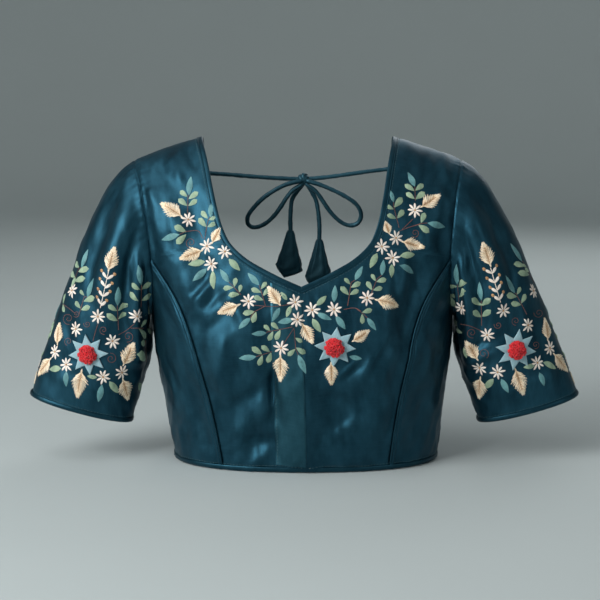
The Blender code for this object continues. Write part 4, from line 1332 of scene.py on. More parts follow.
@dataclass
class Skin:
    """The outer faces of the whole blouse, for what is laid on them."""

    cloth: Cloth
    camera: Camera
    placket: tuple[Array, list]

    def __post_init__(self) -> None:
        """Gathers the panels' faces in one tree for each area."""
        self.trees = {area: self.gather(area) for area in Area}

    def gather(self, area: Area) -> BVHTree:
        """Makes the tree of an area's outer faces.

        Args:
            area: the panels that it lies on.

        Returns:
            The tree.
        """
        points, faces, start = [], [], 0
        for name in area.value:
            panel = self.cloth.panels[name]
            points.append(stand(panel.outer()).reshape(-1, 3))
            faces += [tuple(n + start for n in quad) for quad in panel.outer_quads]
            start += panel.row.size
        if area in (Area.FRONT, Area.TRUNK):
            points.append(self.placket[0])
            faces += [tuple(n + start for n in face) for face in self.placket[1]]
        return BVHTree.FromPolygons(np.concatenate(points).tolist(), faces)

    def ray(self, area: Area, start: Vector, way: Vector) -> tuple[Array, Array]:
        """The first place that a ray meets in an area, and the outward normal there.

        Args:
            area: the panels that it lies on.
            start: where the ray starts.
            way: the direction to look in.

        Returns:
            The place and the normal.
        """
        place, normal, _, _ = self.trees[area].ray_cast(start, way)
        if place is None:
            raise ValueError(f"nothing lies along {tuple(way)} from {tuple(start)}")
        return np.array(place), np.array(-normal if normal.dot(way) > 0 else normal)

    def pixel(self, area: Area, x: float, y: float) -> Array:
        """The place on the cloth at a place in the picture, or the nearest one beside its outline.

        Args:
            area: the panels that it lies on.
            x: pixels from the left.
            y: pixels from the top.

        Returns:
            The place, in metres.
        """
        way = self.camera.way(x, y)
        place, normal, _, _ = self.trees[area].ray_cast(self.camera.place, way)
        if place is None or normal.dot(way) > 0:
            depth = -0.075 if area is Area.FRONT else -0.02
            beside = self.camera.place + way * ((depth - self.camera.place.y) / way.y)
            place = self.trees[area].find_nearest(beside)[0]
        return np.array(place)

    def front(self, area: Area, across: float, height: float) -> tuple[Array, Array]:
        """The place on the front at x and z in the part's own millimetres."""
        start = stand(np.array([across, -400.0, height]))
        return self.ray(area, Vector(start), Vector((0, 1, 0)))

    def onto(self, area: Area, points: Array, up: Any, out: Array | None = None) -> tuple[Array, Array]:
        """Brings points down to the cloth.

        Args:
            area: the panels that it may lie on.
            points: places near the cloth, in metres.
            up: how far to raise them again, in metres.
            out: the way out of the cloth, to come down along it and not to the nearest place.

        Returns:
            The raised points and the cloth's normals there.
        """
        found, tree = [], self.trees[area]
        for point in points.reshape(-1, 3):
            hit = (None,)
            if out is not None:
                hit = tree.ray_cast(Vector(point + out * 0.012), Vector(-out), 0.03)
            found.append(hit if hit[0] is not None else tree.find_nearest(Vector(point)))
        place = np.array([hit[0] for hit in found]).reshape(points.shape)
        normal = np.array([hit[1] for hit in found]).reshape(points.shape)
        return place + normal * np.broadcast_to(up, points.shape[:-1])[..., None], normal


@dataclass
class Camera:
    """The photograph's camera, and where its pixels look."""

    place: Vector = field(default_factory=lambda: Vector((-0.0049, -2.1843, 0.468)))
    aim: Vector = field(default_factory=lambda: Vector((-0.0049, 0.0157, 0.177)))
    lens: float = 117.84
    sensor: float = 36.0
    width: int = 600

    def build(self) -> None:
        """Makes the camera."""
        data = bpy.data.cameras.new("photo_camera")
        data.lens, data.sensor_width, data.clip_start = self.lens, self.sensor, 0.05
        camera = bpy.data.objects.new("photo_camera", data)
        camera.location = self.place
        camera.rotation_euler = (self.aim - self.place).to_track_quat("-Z", "Y").to_euler()
        bpy.context.scene.collection.objects.link(camera)
        bpy.context.scene.camera = camera

    def way(self, x: float, y: float) -> Vector:
        """The direction of a place in the picture, counted in pixels from its upper left.

        Args:
            x: pixels from the left.
            y: pixels from the top.

        Returns:
            A direction of length one.
        """
        ahead = (self.aim - self.place).normalized()
        right = ahead.cross(Vector((0, 0, 1))).normalized()
        up = right.cross(ahead)
        reach = self.lens / self.sensor * self.width
        return (ahead * reach + right * (x - self.width / 2) + up * (self.width / 2 - y)).normalized()


# name, place in metres, watts, side in metres
LAMPS = (
    ("window", (-1.75, -1.6, 1.22), 64.0, 1.6),
    ("top", (-1.0, -0.6, 2.1), 12.0, 1.5),
    ("fill", (1.6, -1.7, 0.9), 5.0, 1.0),
    ("behind", (0.7, 2.0, 1.4), 11.0, 1.4),
)


@dataclass
class Studio:
    """A plain pale floor that turns up into a wall all round, and soft lights."""

    floor: float = 3.2
    bend: float = 1.6
    wall: float = 5.0
    floor_gap: float = 0.0006
    sides: int = 96
    aim: Place = (0.0, 0.0, 0.18)
    sky: float = 0.7
    haze: Colour = (0.80, 0.88, 0.95)
    haze_strength: float = 0.06

    def build(self) -> None:
        """Makes the floor, the lights and the world."""
        bends = np.linspace(0, math.pi / 2, 13)
        line = [(self.floor + self.bend * math.sin(t), self.bend * (1 - math.cos(t))) for t in bends]
        line = np.array([(0.5, 0.0), *line, (self.floor + self.bend, self.wall)])
        turns = np.linspace(0, math.tau, self.sides, endpoint=False)
        rings = [
            np.stack(
                [reach * np.cos(turns), reach * np.sin(turns), 0 * turns + height - self.floor_gap], axis=1
            )
            for reach, height in line
        ]
        faces = [face[::-1] for face in tube_faces(len(line), self.sides)[:-1]]
        mesh = bpy.data.meshes.new("floor")
        mesh.from_pydata(np.concatenate(rings).tolist(), [], faces)
        mesh.shade_smooth()
        mesh.materials.append(Finish.FLOOR.get())
        floor = bpy.data.objects.new("floor", mesh)
        bpy.context.scene.collection.objects.link(floor)
        for lamp in LAMPS:
            self.light(*lamp)
        sky = bpy.data.lights.new("sky", "SUN")
        sky.energy, sky.angle = self.sky, math.radians(150.0)
        bpy.context.scene.collection.objects.link(bpy.data.objects.new("sky", sky))
        world = bpy.data.worlds.new("studio")
        world.use_nodes = True
        background = world.node_tree.nodes["Background"]
        background.inputs["Color"].default_value = opaque(self.haze)
        background.inputs["Strength"].default_value = self.haze_strength
        bpy.context.scene.world = world
        bpy.context.scene.view_settings.view_transform = "Standard"

    def light(self, name: str, place: Place, power: float, size: float) -> None:
        """Adds a soft square light.

        Args:
            name: its name.
            place: where it stands, in metres.
            power: its watts.
            size: its side in metres.
        """
        data = bpy.data.lights.new(name, "AREA")
        data.energy, data.size, data.spread = power, size, math.pi
        lamp = bpy.data.objects.new(name, data)
        lamp.location = place
        lamp.rotation_euler = (Vector(self.aim) - Vector(place)).to_track_quat("-Z", "Y").to_euler()
        bpy.context.scene.collection.objects.link(lamp)


# Trims


@dataclass
class Trims:
    """The bindings, the piping along the princess seams and the hook placket."""

    cloth: Cloth
    lift: float = 0.4
    neck_lift: float = 0.2
    overhang: float = -1.3
    thickness: float = 1.0
    neck_width: float = 5.0
    hem_width: float = 5.5
    hem_foot: float = 0.5
    piping: float = 1.1
    end_gap: float = 0.2
    edges: dict[str, tuple[Array, Array]] = field(default_factory=dict)

    def build(self) -> None:
        """Makes every trim."""
        for hand in Hand:
            self.neck(f"neck_binding_{hand.word}", [(f"front_{hand.word}", 1)], hand.value)
            self.cuff(hand)
            self.princess(hand)
        self.neck("back_neck_binding", [("back", -1), ("back", 1)], 0)
        self.hem()

    def roll(self, width: float, lift: float, wrap: float) -> list[tuple[float, float]]:
        """The outline of a rolled binding that turns over an edge, as distances inward and outward.

        Args:
            width: how far it reaches inward.
            lift: its gap from the cloth.
            wrap: how far it turns over the edge.

        Returns:
            The outline.
        """
        base, edge = WALL + lift, self.overhang
        top = base + self.thickness * 0.7
        return [
            (width, base - 0.4),
            (width + 0.05, top - 0.3),
            (width - 0.3, top),
            (width * 0.80, top),
            (width * 0.74, top - 0.3),
            (width * 0.68, top),
            (width * 0.3, top + 0.1),
            (edge * 0.5, top),
            (edge, top - 0.35),
            (edge - 0.1, base - wrap * 0.4),
            (edge, base - wrap * 0.9),
            (edge * 0.6, base - wrap - 0.2),
            (-self.lift, base - wrap),
            (-self.lift, base),
        ]

    def piece(
        self, name: str, edge: Array, inward: Array, normal: Array, profile: Sequence[tuple[float, float]],
        closed: bool = False
    ) -> bpy.types.Object:
        """A trim of puckered bias cloth along an edge, which replaces its CAD node.

        Args:
            name: its name.
            edge: points along the edge.
            inward: the way into the cloth at each point.
            normal: the way out of the cloth.
            profile: its outline as distances inward and outward.
            closed: whether it runs round.

        Returns:
            The trim.
        """
        along = run_of(edge)
        outline = np.array(profile, float)
        wave = np.sin(along / 1.55) * np.sin(along / 6.1 + 1.0) + 0.5 * np.sin(along / 3.7 + 2.0)
        reach = inward[:, None] * outline[None, :, :1] + normal[:, None] * outline[None, :, 1:]
        crown = np.clip((outline[:, 1] - WALL - 0.9) / 1.2, 0, 1)
        ripple = 0.14 * wave[:, None] * crown[None, :]
        rings = edge[:, None] + reach + normal[:, None] * ripple[..., None]
        piece = make_object(
            name + "_cloth", stand(rings), tube_faces(len(edge), len(outline), closed), [Finish.TRIM], 60.0
        )
        around = run_of(outline)
        add_uv(piece, np.stack(np.meshgrid(along, around, indexing="ij"), axis=-1).reshape(-1, 2) * MM)
        self.edges[name] = (edge, inward)
        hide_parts(name)
        return piece

    def neck(self, name: str, runs: Sequence[tuple[str, int]], side: int) -> None:
        """Binds a neckline.

        Args:
            name: the CAD node.
            runs: the panel and the sign of its columns, one for each half.
            side: the sign of x where it ends at the centre line, or 0 for the back.
        """
        edges, inwards, normals = [], [], []
        for panel_name, sign in runs:
            panel = self.cloth.panels[panel_name]
            place = sign * panel.cols
            low = [(HEM_ROWS, c) for c in np.sort(place[(place >= 0) & (place <= NECK_COLUMN)])]
            high = [(r, NECK_COLUMN) for r in panel.rows[panel.rows > HEM_ROWS]]
            row, col = np.array(low + high, float).T
            edge = panel.read(panel.points, row, sign * col)
            normal = panel.normal_at(row, sign * col)
            row_in = np.where(row > HEM_ROWS, row, HEM_ROWS - 0.25)
            col_in = sign * np.where(row > HEM_ROWS, col + 0.25, col)
            below = unit(panel.read(panel.points, row_in, col_in) - edge)
            tangent = unit(np.gradient(edge, axis=0))
            inward = unit(np.cross(normal, tangent))
            inward *= np.sign(np.sum(inward * below, axis=1))[:, None]
            for end in (0, -1):
                if end == -1 or side:
                    inward[end] = below[end] / max(0.45, float(below[end] @ inward[end]))
            edge[-1] += unit(edge[-2] - edge[-1]) * 0.05
            if sign < 0:
                edge, inward, normal = edge[::-1], inward[::-1], normal[::-1]
            skip = 1 if edges else 0
            edges.append(edge[skip:])
            inwards.append(inward[skip:])
            normals.append(normal[skip:])
        edge, inward, normal = (np.concatenate(part) for part in (edges, inwards, normals))
        if side:
            normal[0] = unit(normal[0] * np.array([0.0, 1.0, 1.0]))
            inward[0] *= np.array([0.0, 1.0, 1.0])
            edge[0, 0] = side * 0.02
        self.piece(name, edge, inward, normal, self.roll(self.neck_width, self.neck_lift, WALL))

    def flat(self, low: float, high: float) -> list[tuple[float, float]]:
        """The outline of a flat trim with soft edges.

        Args:
            low: where it starts.
            high: where it ends.

        Returns:
            The outline.
        """
        base = WALL + self.lift
        top = base + self.thickness
        middle = (low + high) / 2
        return [
            (low, base), (high, base), (high + 0.1, top - 0.4), (high - 0.5, top), (middle, top + 0.3),
            (low + 0.6, top + 0.1), (low - 0.05, top - 0.4)
        ]

    def hem(self) -> None:
        """Makes the trim round the hem, open at the centre front."""
        edge, inward, normal = [], [], []
        for name, backwards in (
            ("front_left", False), ("side_front_left", False), ("back", True), ("side_front_right", True),
            ("front_right", True)
        ):
            panel = self.cloth.panels[name]
            order = slice(None, None, -1) if backwards else slice(None)
            points = panel.points[0][order]
            up = unit(panel.points[1] - panel.points[0])[order]
            out = panel.normals[0][order]
            skip = 1 if edge else 0
            edge.append(points[skip:])
            inward.append(up[skip:])
            normal.append(out[skip:])
        edge, inward, normal = (np.concatenate(part) for part in (edge, inward, normal))
        for end, sign in ((0, 1), (-1, -1)):
            edge[end, 0] = sign * self.end_gap
            inward[end, 0] = normal[end, 0] = 0.0
        self.piece("hem_binding", edge, inward, normal, self.flat(self.hem_foot, self.hem_width))

    def cuff(self, hand: Hand) -> None:
        """Makes the turned hem of a sleeve.

        Args:
            hand: the wearer's side.
        """
        panel = self.cloth.panels[f"sleeve_{hand.word}"]
        edge, inward = panel.points[-1], unit(panel.points[-2] - panel.points[-1])
        self.piece(
            f"cuff_binding_{hand.word}", edge, inward, panel.normals[-1],
            self.flat(self.end_gap, self.neck_width), True
        )

    def princess(self, hand: Hand) -> None:
        """Makes the piping that lies in a princess seam.

        Args:
            hand: the wearer's side.
        """
        panel = self.cloth.panels[f"front_{hand.word}"]
        row = np.arange(0.5, HEM_ROWS - 0.2, 0.125)
        edge = panel.read(panel.points, row, PANEL_COLUMNS + 0.0 * row)
        normal = panel.normal_at(row, PANEL_COLUMNS + 0.0 * row)
        tangent = unit(np.gradient(edge, axis=0))
        aside = np.cross(normal, tangent)
        turns = np.linspace(0, math.tau, 10, endpoint=False)
        up = WALL + self.lift * 0.2 + self.piping * 0.8
        profile = [(self.piping * math.cos(t), up + self.piping * math.sin(t)) for t in turns]
        self.piece(f"princess_piping_{hand.word}", edge, aside, normal, profile)

    def placket(self) -> tuple[Array, list]:
        """Makes the strip that covers the closure, and returns its outer face for what is sewn on it."""
        panel = self.cloth.panels["front_right"]
        rows = np.unique(np.concatenate([np.arange(0.55, 13.4, 0.25), [13.4]]))
        cols = np.linspace(0, PLACKET_COLUMNS, 22)
        row, col = np.meshgrid(rows, cols, indexing="ij")
        base, normal = panel.read(panel.points, row, col), panel.normal_at(row, col)
        inset = np.array([-1.0, 0.0, 0.0]) * self.end_gap * np.exp(-col * 3)[..., None]
        edge = np.minimum(col, PLACKET_COLUMNS - col) * PLACKET_STEP
        top = WALL + self.lift + self.thickness * (0.35 + 0.65 * smoothstep(edge / 1.2))
        height = row * 15.5
        quilt = 0.28 * np.sin(
            height / 5.2 + 1.5 * np.sin(height / 19)
        ) * np.exp(-((col * PLACKET_STEP - 33) / 5) ** 2)
        under = panel.read(panel.rise[..., None], row, col)[..., 0]
        top = top + under + 0.3 * unevenness(col * PLACKET_STEP, height, 5, 9.0, 30.0, 0.45) + quilt
        low = base + normal * (WALL + self.lift + under)[..., None] + inset
        high = base + normal * top[..., None] + inset
        faces = grid_faces(len(rows), len(cols), True)
        size = row.size
        faces = faces + [
            tuple(n + size for n in face[::-1]) for face in faces
        ] + rim_faces(len(rows), len(cols), size)
        piece = make_object("hook_placket_cloth", stand(np.stack([high, low])), faces, [Finish.PLACKET], 60.0)
        add_uv(piece, np.tile(np.stack([col * PLACKET_STEP, height], axis=-1).reshape(-1, 2) * MM, (2, 1)))
        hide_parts("hook_placket")
        return stand(high).reshape(-1, 3), faces[: (len(rows) - 1) * (len(cols) - 1)]


def grid_faces(rows: int, cols: int, turned: bool = False) -> list:
    """Faces of a grid of points by row and column."""
    faces = [
        (j * cols + i, j * cols + i + 1, (j + 1) * cols + i + 1, (j + 1) * cols + i)
        for j in range(rows - 1)
        for i in range(cols - 1)
    ]
    return [face[::-1] for face in faces] if turned else faces


def rim_faces(rows: int, cols: int, size: int) -> list:
    """Faces that join the edges of two grids, size points apart.

    Args:
        rows: its rows.
        cols: its columns.
        size: how many points the first grid has.

    Returns:
        The faces.
    """
    ring = list(range(cols)) + [j * cols + cols - 1 for j in range(1, rows)]
    ring += [
        (rows - 1) * cols + i for i in range(cols - 2, -1, -1)
    ] + [j * cols for j in range(rows - 2, 0, -1)]
    return [(a, b, b + size, a + size) for a, b in zip(ring, ring[1:] + ring[:1], strict=True)]


def add_uv(piece: bpy.types.Object, cloth: Array) -> None:
    """Gives a mesh its cloth places, in metres, by vertex.

    Args:
        piece: the piece.
        cloth: a place on the cloth for each point.
    """
    layer = piece.data.uv_layers.new(name="cloth")
    order = np.zeros(len(piece.data.loops), int)
    piece.data.loops.foreach_get("vertex_index", order)
    layer.data.foreach_set("uv", cloth[order].ravel())


# The back tie


def smooth_route(route: Sequence[Place], step: float) -> Array:
    """Points at even steps on a smooth curve through a route.

    Args:
        route: the places to pass.
        step: the distance between points.

    Returns:
        The points.
    """
    route = np.array(route, float)
    along = run_of(route)
    padded = np.vstack([2 * route[0] - route[1], route, 2 * route[-1] - route[-2]])
    at = np.linspace(0, along[-1], max(4, round(along[-1] / step)) + 1)
    i = np.clip(np.searchsorted(along, at, side="right") - 1, 0, len(route) - 2)
    t = ((at - along[i]) / (along[i + 1] - along[i]))[:, None]
    a, b, c, d = (padded[i + k] for k in range(4))
    return 0.5 * (2 * b + (c - a) * t + (2 * a - 5 * b + 4 * c - d) * t**2 + (3 * b - a - 3 * c + d) * t**3)


def length_of(points: Array) -> float:
    """The length of a line of points."""
    return float(np.linalg.norm(np.diff(points, axis=0), axis=1).sum())


def cord_rings(points: Array, radius: Array, sides: int, seed: int, wrinkle: float) -> Array:
    """Rings of a wrinkled cloth tube along points.

    Args:
        points: the tube's middle line.
        radius: its radius at each point.
        sides: the corners of each ring.
        seed: which wrinkles it has.
        wrinkle: their depth as a share of the radius.

    Returns:
        The rings' points.
    """
    tangent = unit(np.gradient(points, axis=0))
    across = [unit(np.cross(tangent[0], [0.3, 0.2, 1.0]))]
    for way in tangent[1:]:
        across.append(unit(across[-1] - way * (across[-1] @ way)))
    across = np.array(across)
    other = np.cross(tangent, across)
    turn = np.linspace(0, math.tau, sides, endpoint=False)
    along = run_of(points)
    line = along[:, None]
    crease = np.sin(line / 1.5 + turn + seed) * np.sin(line / 5.3 - turn + seed)
    crease = crease + 0.6 * np.sin(line / 2.6 - 2 * turn)
    seam = -0.16 * np.exp(-((turn - 1.2) / 0.22) ** 2)
    reach = radius[:, None] * (1 + wrinkle * crease + seam)
    wide, deep = (reach * np.cos(turn))[..., None], (reach * np.sin(turn))[..., None]
    return points[:, None] + across[:, None] * wide + other[:, None] * deep


def tube_cloth(rings: int, sides: int, step: float, radius: float) -> Array:
    """The cloth places of a tube's points, in metres, folded so that they meet round it."""
    around = radius * np.abs(np.linspace(-math.pi, math.pi, sides, endpoint=False))
    return np.stack(
        np.meshgrid(np.arange(rings) * step, around, indexing="ij")[::-1], axis=-1
    ).reshape(-1, 2) * MM


@dataclass
class BackTie:
    """The cord that closes the back: straps, loops and tails, the knot and two stuffed tassels."""

    skin: Skin
    radius: float = 2.6
    knot_at: Place = (6.0, 74.0, 308.0)
    knot_size: Place = (12.5, 13.0, 12.5)
    knot_swell: float = 1.12
    knot_rise: float = 1.2
    tuck: float = 0.42
    foot_lift: float = 0.7 + 1.0 + 0.4
    step: float = 1.1
    sides: int = 12

    def build(self) -> None:
        """Makes the knot, the tassels and the six lengths of cord."""
        knot = self.knot()
        tassels = {hand: self.tassel(hand, *TASSELS[hand]) for hand in Hand}
        for hand in Hand:
            side = hand.word
            foot = self.foot(*TIE_FOOT[hand])
            self.cord(
                f"tie_{side}", [foot, *ROUTES[f"tie_{side}"]]
            )
            self.cord(f"bow_loop_{side}", ROUTES[f"bow_loop_{side}"])
            self.cord(f"tie_tail_{side}", ROUTES[f"tie_tail_{side}"])
        log.info("bow: %s and two tassels", knot.name)

    def foot(self, across: float, height: float) -> Place:
        """The place on the outside of the back where a tie is sewn on.

        Args:
            across: x on the back.
            height: z on the back.

        Returns:
            The place, in millimetres.
        """
        start = stand(np.array([across, 400.0, height]))
        place, normal = self.skin.ray(Area.BACK, Vector(start), Vector((0, -1, 0)))
        place = place / MM + normal * (self.foot_lift + self.radius)
        place[:2] -= stand(np.array([0.0, 0.0, place[2]]))[:2] / MM
        return tuple(place)

    def cord(self, name: str, route: Sequence[Place]) -> None:
        """Makes one length of cord, a sewn tube of silk.

        Args:
            name: its name.
            route: the places that it passes.
        """
        route = [np.array(place, float) for place in route]
        knot = np.array(self.knot_at)
        if name.startswith(("bow", "tie_tail")):
            route.insert(0, route[0] + (knot - route[0]) * self.tuck)
        if not name.startswith("tie_tail"):
            route.append(route[-1] + (knot - route[-1]) * self.tuck)
        else:
            route.append(route[-1] - np.array([0.0, 0.0, 2.6]))
        points = smooth_route(route, self.step)
        radius = self.radius * (1 + 0.03 * np.sin(np.arange(len(points)) / 6.0))
        radius[[0, -1]] *= 0.86
        rings = cord_rings(points, radius, self.sides, len(name), 0.045)
        piece = make_object(
            name + "_cord", stand(rings), tube_faces(len(rings), self.sides), [Finish.CORD], 60.0
        )
        add_uv(piece, tube_cloth(len(rings), self.sides, self.step, self.radius))
        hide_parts(name)
        line = stand(points)
        tuple(line[0])
        2 * self.radius * MM
        log.info("%s: %.0f mm", name, length_of(points))

    def knot(self) -> bpy.types.Object:
        """Makes the knot: two bights of cord pulled tight under a wrap."""
        centre = np.array(self.knot_at) + np.array([0.0, 0.0, self.knot_rise])
        half = np.array(self.knot_size) / 2
        turns = np.linspace(0, math.tau, 40, endpoint=False)
        parts = []
        for tilt, shift, radius, wide in (
            (0.25, 0.0, 2.5, 0.62), (-0.5, -2.2, 2.2, 0.55), (0.9, 2.4, 2.2, 0.5)
        ):
            c, s = np.cos(turns), np.sin(turns)
            loop = np.stack(
                [shift + 1.4 * np.sin(turns * 2), (half[1] - radius) * c, (half[2] - radius) * s], axis=1
            )
            turn = np.array(
                [[math.cos(tilt), 0, math.sin(tilt)], [0, 1, 0], [-math.sin(tilt), 0, math.cos(tilt)]]
            )
            parts.append((loop * wide / 0.62) @ turn.T if wide < 0.6 else loop @ turn.T)
        points, faces, cloth, start = [], [], [], 0
        for k, loop in enumerate(parts):
            path = np.vstack([loop, loop[:1]]) * self.knot_swell + centre
            rings = cord_rings(path, np.full(len(path), self.radius), self.sides, k, 0.06)[:-1]
            cloth.append(tube_cloth(len(loop), self.sides, 0.8, self.radius))
            points.append(rings.reshape(-1, 3))
            faces += tube_faces(len(loop), self.sides, True, start)
            start += len(loop) * self.sides
        piece = make_object("bow_knot_cord", stand(np.concatenate(points)), faces, [Finish.CORD], 60.0)
        add_uv(piece, np.concatenate(cloth))
        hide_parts("bow_knot")
        return piece

    def tassel(
        self, hand: Hand, top: Place, height: float, lean: float, half_width: float, half_depth: float,
        point: Place
    ) -> bpy.types.Object:
        """Makes a stuffed cloth tassel: a gathered cone, wide and flat at its foot.

        Args:
            hand: whose side it hangs on.
            top: where the cord enters it.
            height: its length.
            lean: its lean in degrees.
            half_width: half its width at the foot.
            half_depth: half its depth at the foot.
            point: its lowest place as a share of its width, and how far its two corners lie above that.

        Returns:
            The tassel.
        """
        lean = math.radians(lean)
        width_at = Curve(TASSEL_RINGS)
        drops = np.concatenate(
            [np.linspace(0, 0.9, 46), 0.9 + 0.1 * np.sin(np.linspace(0.1, 1, 14) * math.pi / 2)]
        )
        sides = 72
        turn = np.linspace(0, math.tau, sides, endpoint=False)
        rings = []
        for drop in drops:
            width = float(width_at(drop))
            close = max(0.0, (drop - 0.9) / 0.1)
            width *= math.sqrt(max(0.0, 1 - 0.93 * close**4))
            gathers = np.sin(turn * 9 + 2.5 * drop + np.sin(turn * 2 + hand.value))
            pleat = 1 + 0.075 * gathers * (1 - drop) ** 0.6 * min(1.0, drop * 14)
            foot = np.exp(-((drop - 0.9) / 0.14) ** 2)
            pucker = 1 + 0.02 * np.sin(turn * 5 + drop * 21) + 0.03 * np.sin(
                drop * 34 + 2 * np.cos(turn)
            ) * foot
            c, s = np.cos(turn), np.sin(turn)
            x = half_width * width * np.sign(c) * np.abs(c) ** 0.8 * pleat * pucker
            y = half_depth * max(width, 0.3 * (1 - close)) * np.sign(s) * np.abs(s) ** 0.8 * pleat * pucker
            aside = np.clip(x / half_width, -1, 1)
            lifted = np.where(
                aside < point[0], point[1] * (point[0] - aside) / (1 + point[0]),
                point[2] * (aside - point[0]) / (1 - point[0])
            )
            z = -height * drop + lifted * drop**3
            rings.append(
                np.stack(
                    [x * math.cos(lean) - z * math.sin(lean), y, x * math.sin(lean) + z * math.cos(lean)],
                    axis=1
                )
            )
        points = np.array(rings) + np.array(top)
        # the tassel takes the lighter cord satin, whose paler shade is painted light
        piece = make_object(
            f"tassel_{hand.word}_cloth", stand(points), tube_faces(len(rings), sides), [Finish.CORD], 60.0
        )
        cloth = np.stack(
            np.meshgrid(drops * height, np.abs(turn - math.pi) / math.tau * 90, indexing="ij")[::-1], axis=-1
        )
        add_uv(piece, cloth.reshape(-1, 2) * MM)
        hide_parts(f"tassel_{hand.word}")
        return piece


TIE_FOOT = {Hand.RIGHT: (-112.5, 315.6), Hand.LEFT: (112.5, 321.0)}
TASSELS = {
    Hand.RIGHT: ((-11.2, 77.0, 248.6), 56.0, -4.0, 15.5, 8.0, (-0.35, 11.0, 7.0)),
    Hand.LEFT: ((22.0, 77.0, 238.1), 55.0, -3.0, 15.0, 8.0, (-0.6, 5.0, 12.0)),
}
TASSEL_RINGS = [(0.0, 0.22), (0.06, 0.30), (0.25, 0.46), (0.5, 0.70), (0.75, 0.93), (0.9, 1.0), (1.0, 0.92)]
ROUTES = {
    "tie_right": [
        (-104, 76.2, 315.3), (-80, 75.4, 313.6), (-52, 74.2, 311.4), (-24, 74.0, 309.6), (-0.7, 74.0, 308.6)
    ],
    "tie_left": [
        (105, 76.2, 320.3), (82, 75.4, 317.4), (56, 74.2, 313.8), (32, 74.0, 310.6), (12.7, 74.0, 308.9)
    ],
    "bow_loop_right": [
        (0.3, 68.4, 306.4), (-14.5, 66.5, 302.8), (-29.5, 65.0, 295.5), (-42.5, 64.5, 286.5),
        (-53.5, 65.0, 275.5), (-60.0, 66.5, 266.0), (-60.5, 69.5, 257.5), (-55.5, 72.0, 253.0),
        (-47.5, 73.5, 253.5), (-38.0, 73.5, 258.5), (-29.0, 72.5, 267.0), (-21.5, 71.5, 277.0),
        (-14.5, 71.0, 287.5), (-7.0, 70.8, 296.0), (2.2, 71.0, 301.9)
    ],
    "bow_loop_left": [
        (11.7, 68.4, 306.2), (24.5, 66.5, 302.5), (38.0, 65.0, 297.0), (51.0, 64.5, 290.5),
        (62.5, 65.0, 283.0), (69.0, 66.5, 275.0), (71.0, 69.0, 266.0), (67.5, 71.5, 258.0),
        (60.0, 73.0, 254.8), (51.5, 73.5, 256.5), (43.0, 73.0, 262.5), (34.5, 72.5, 272.0),
        (27.0, 71.5, 283.5), (19.5, 70.8, 294.5), (10.1, 71.0, 301.8)
    ],
    "tie_tail_right": [
        (3.7, 76.9, 301.6), (-2.4, 78.0, 294.0), (-8.4, 78.5, 284.5), (-10.4, 78.0, 272.0),
        (-11.2, 77.5, 259.5), (-11.2, 77.0, 249.5)
    ],
    "tie_tail_left": [
        (9.3, 76.9, 302.5), (14.6, 78.0, 293.6), (19.2, 78.5, 283.5), (21.4, 78.0, 271.0),
        (22.4, 77.5, 258.0), (22.4, 77.0, 247.0), (22.0, 77.0, 239.0)
    ],
}


# Felt stars and wool


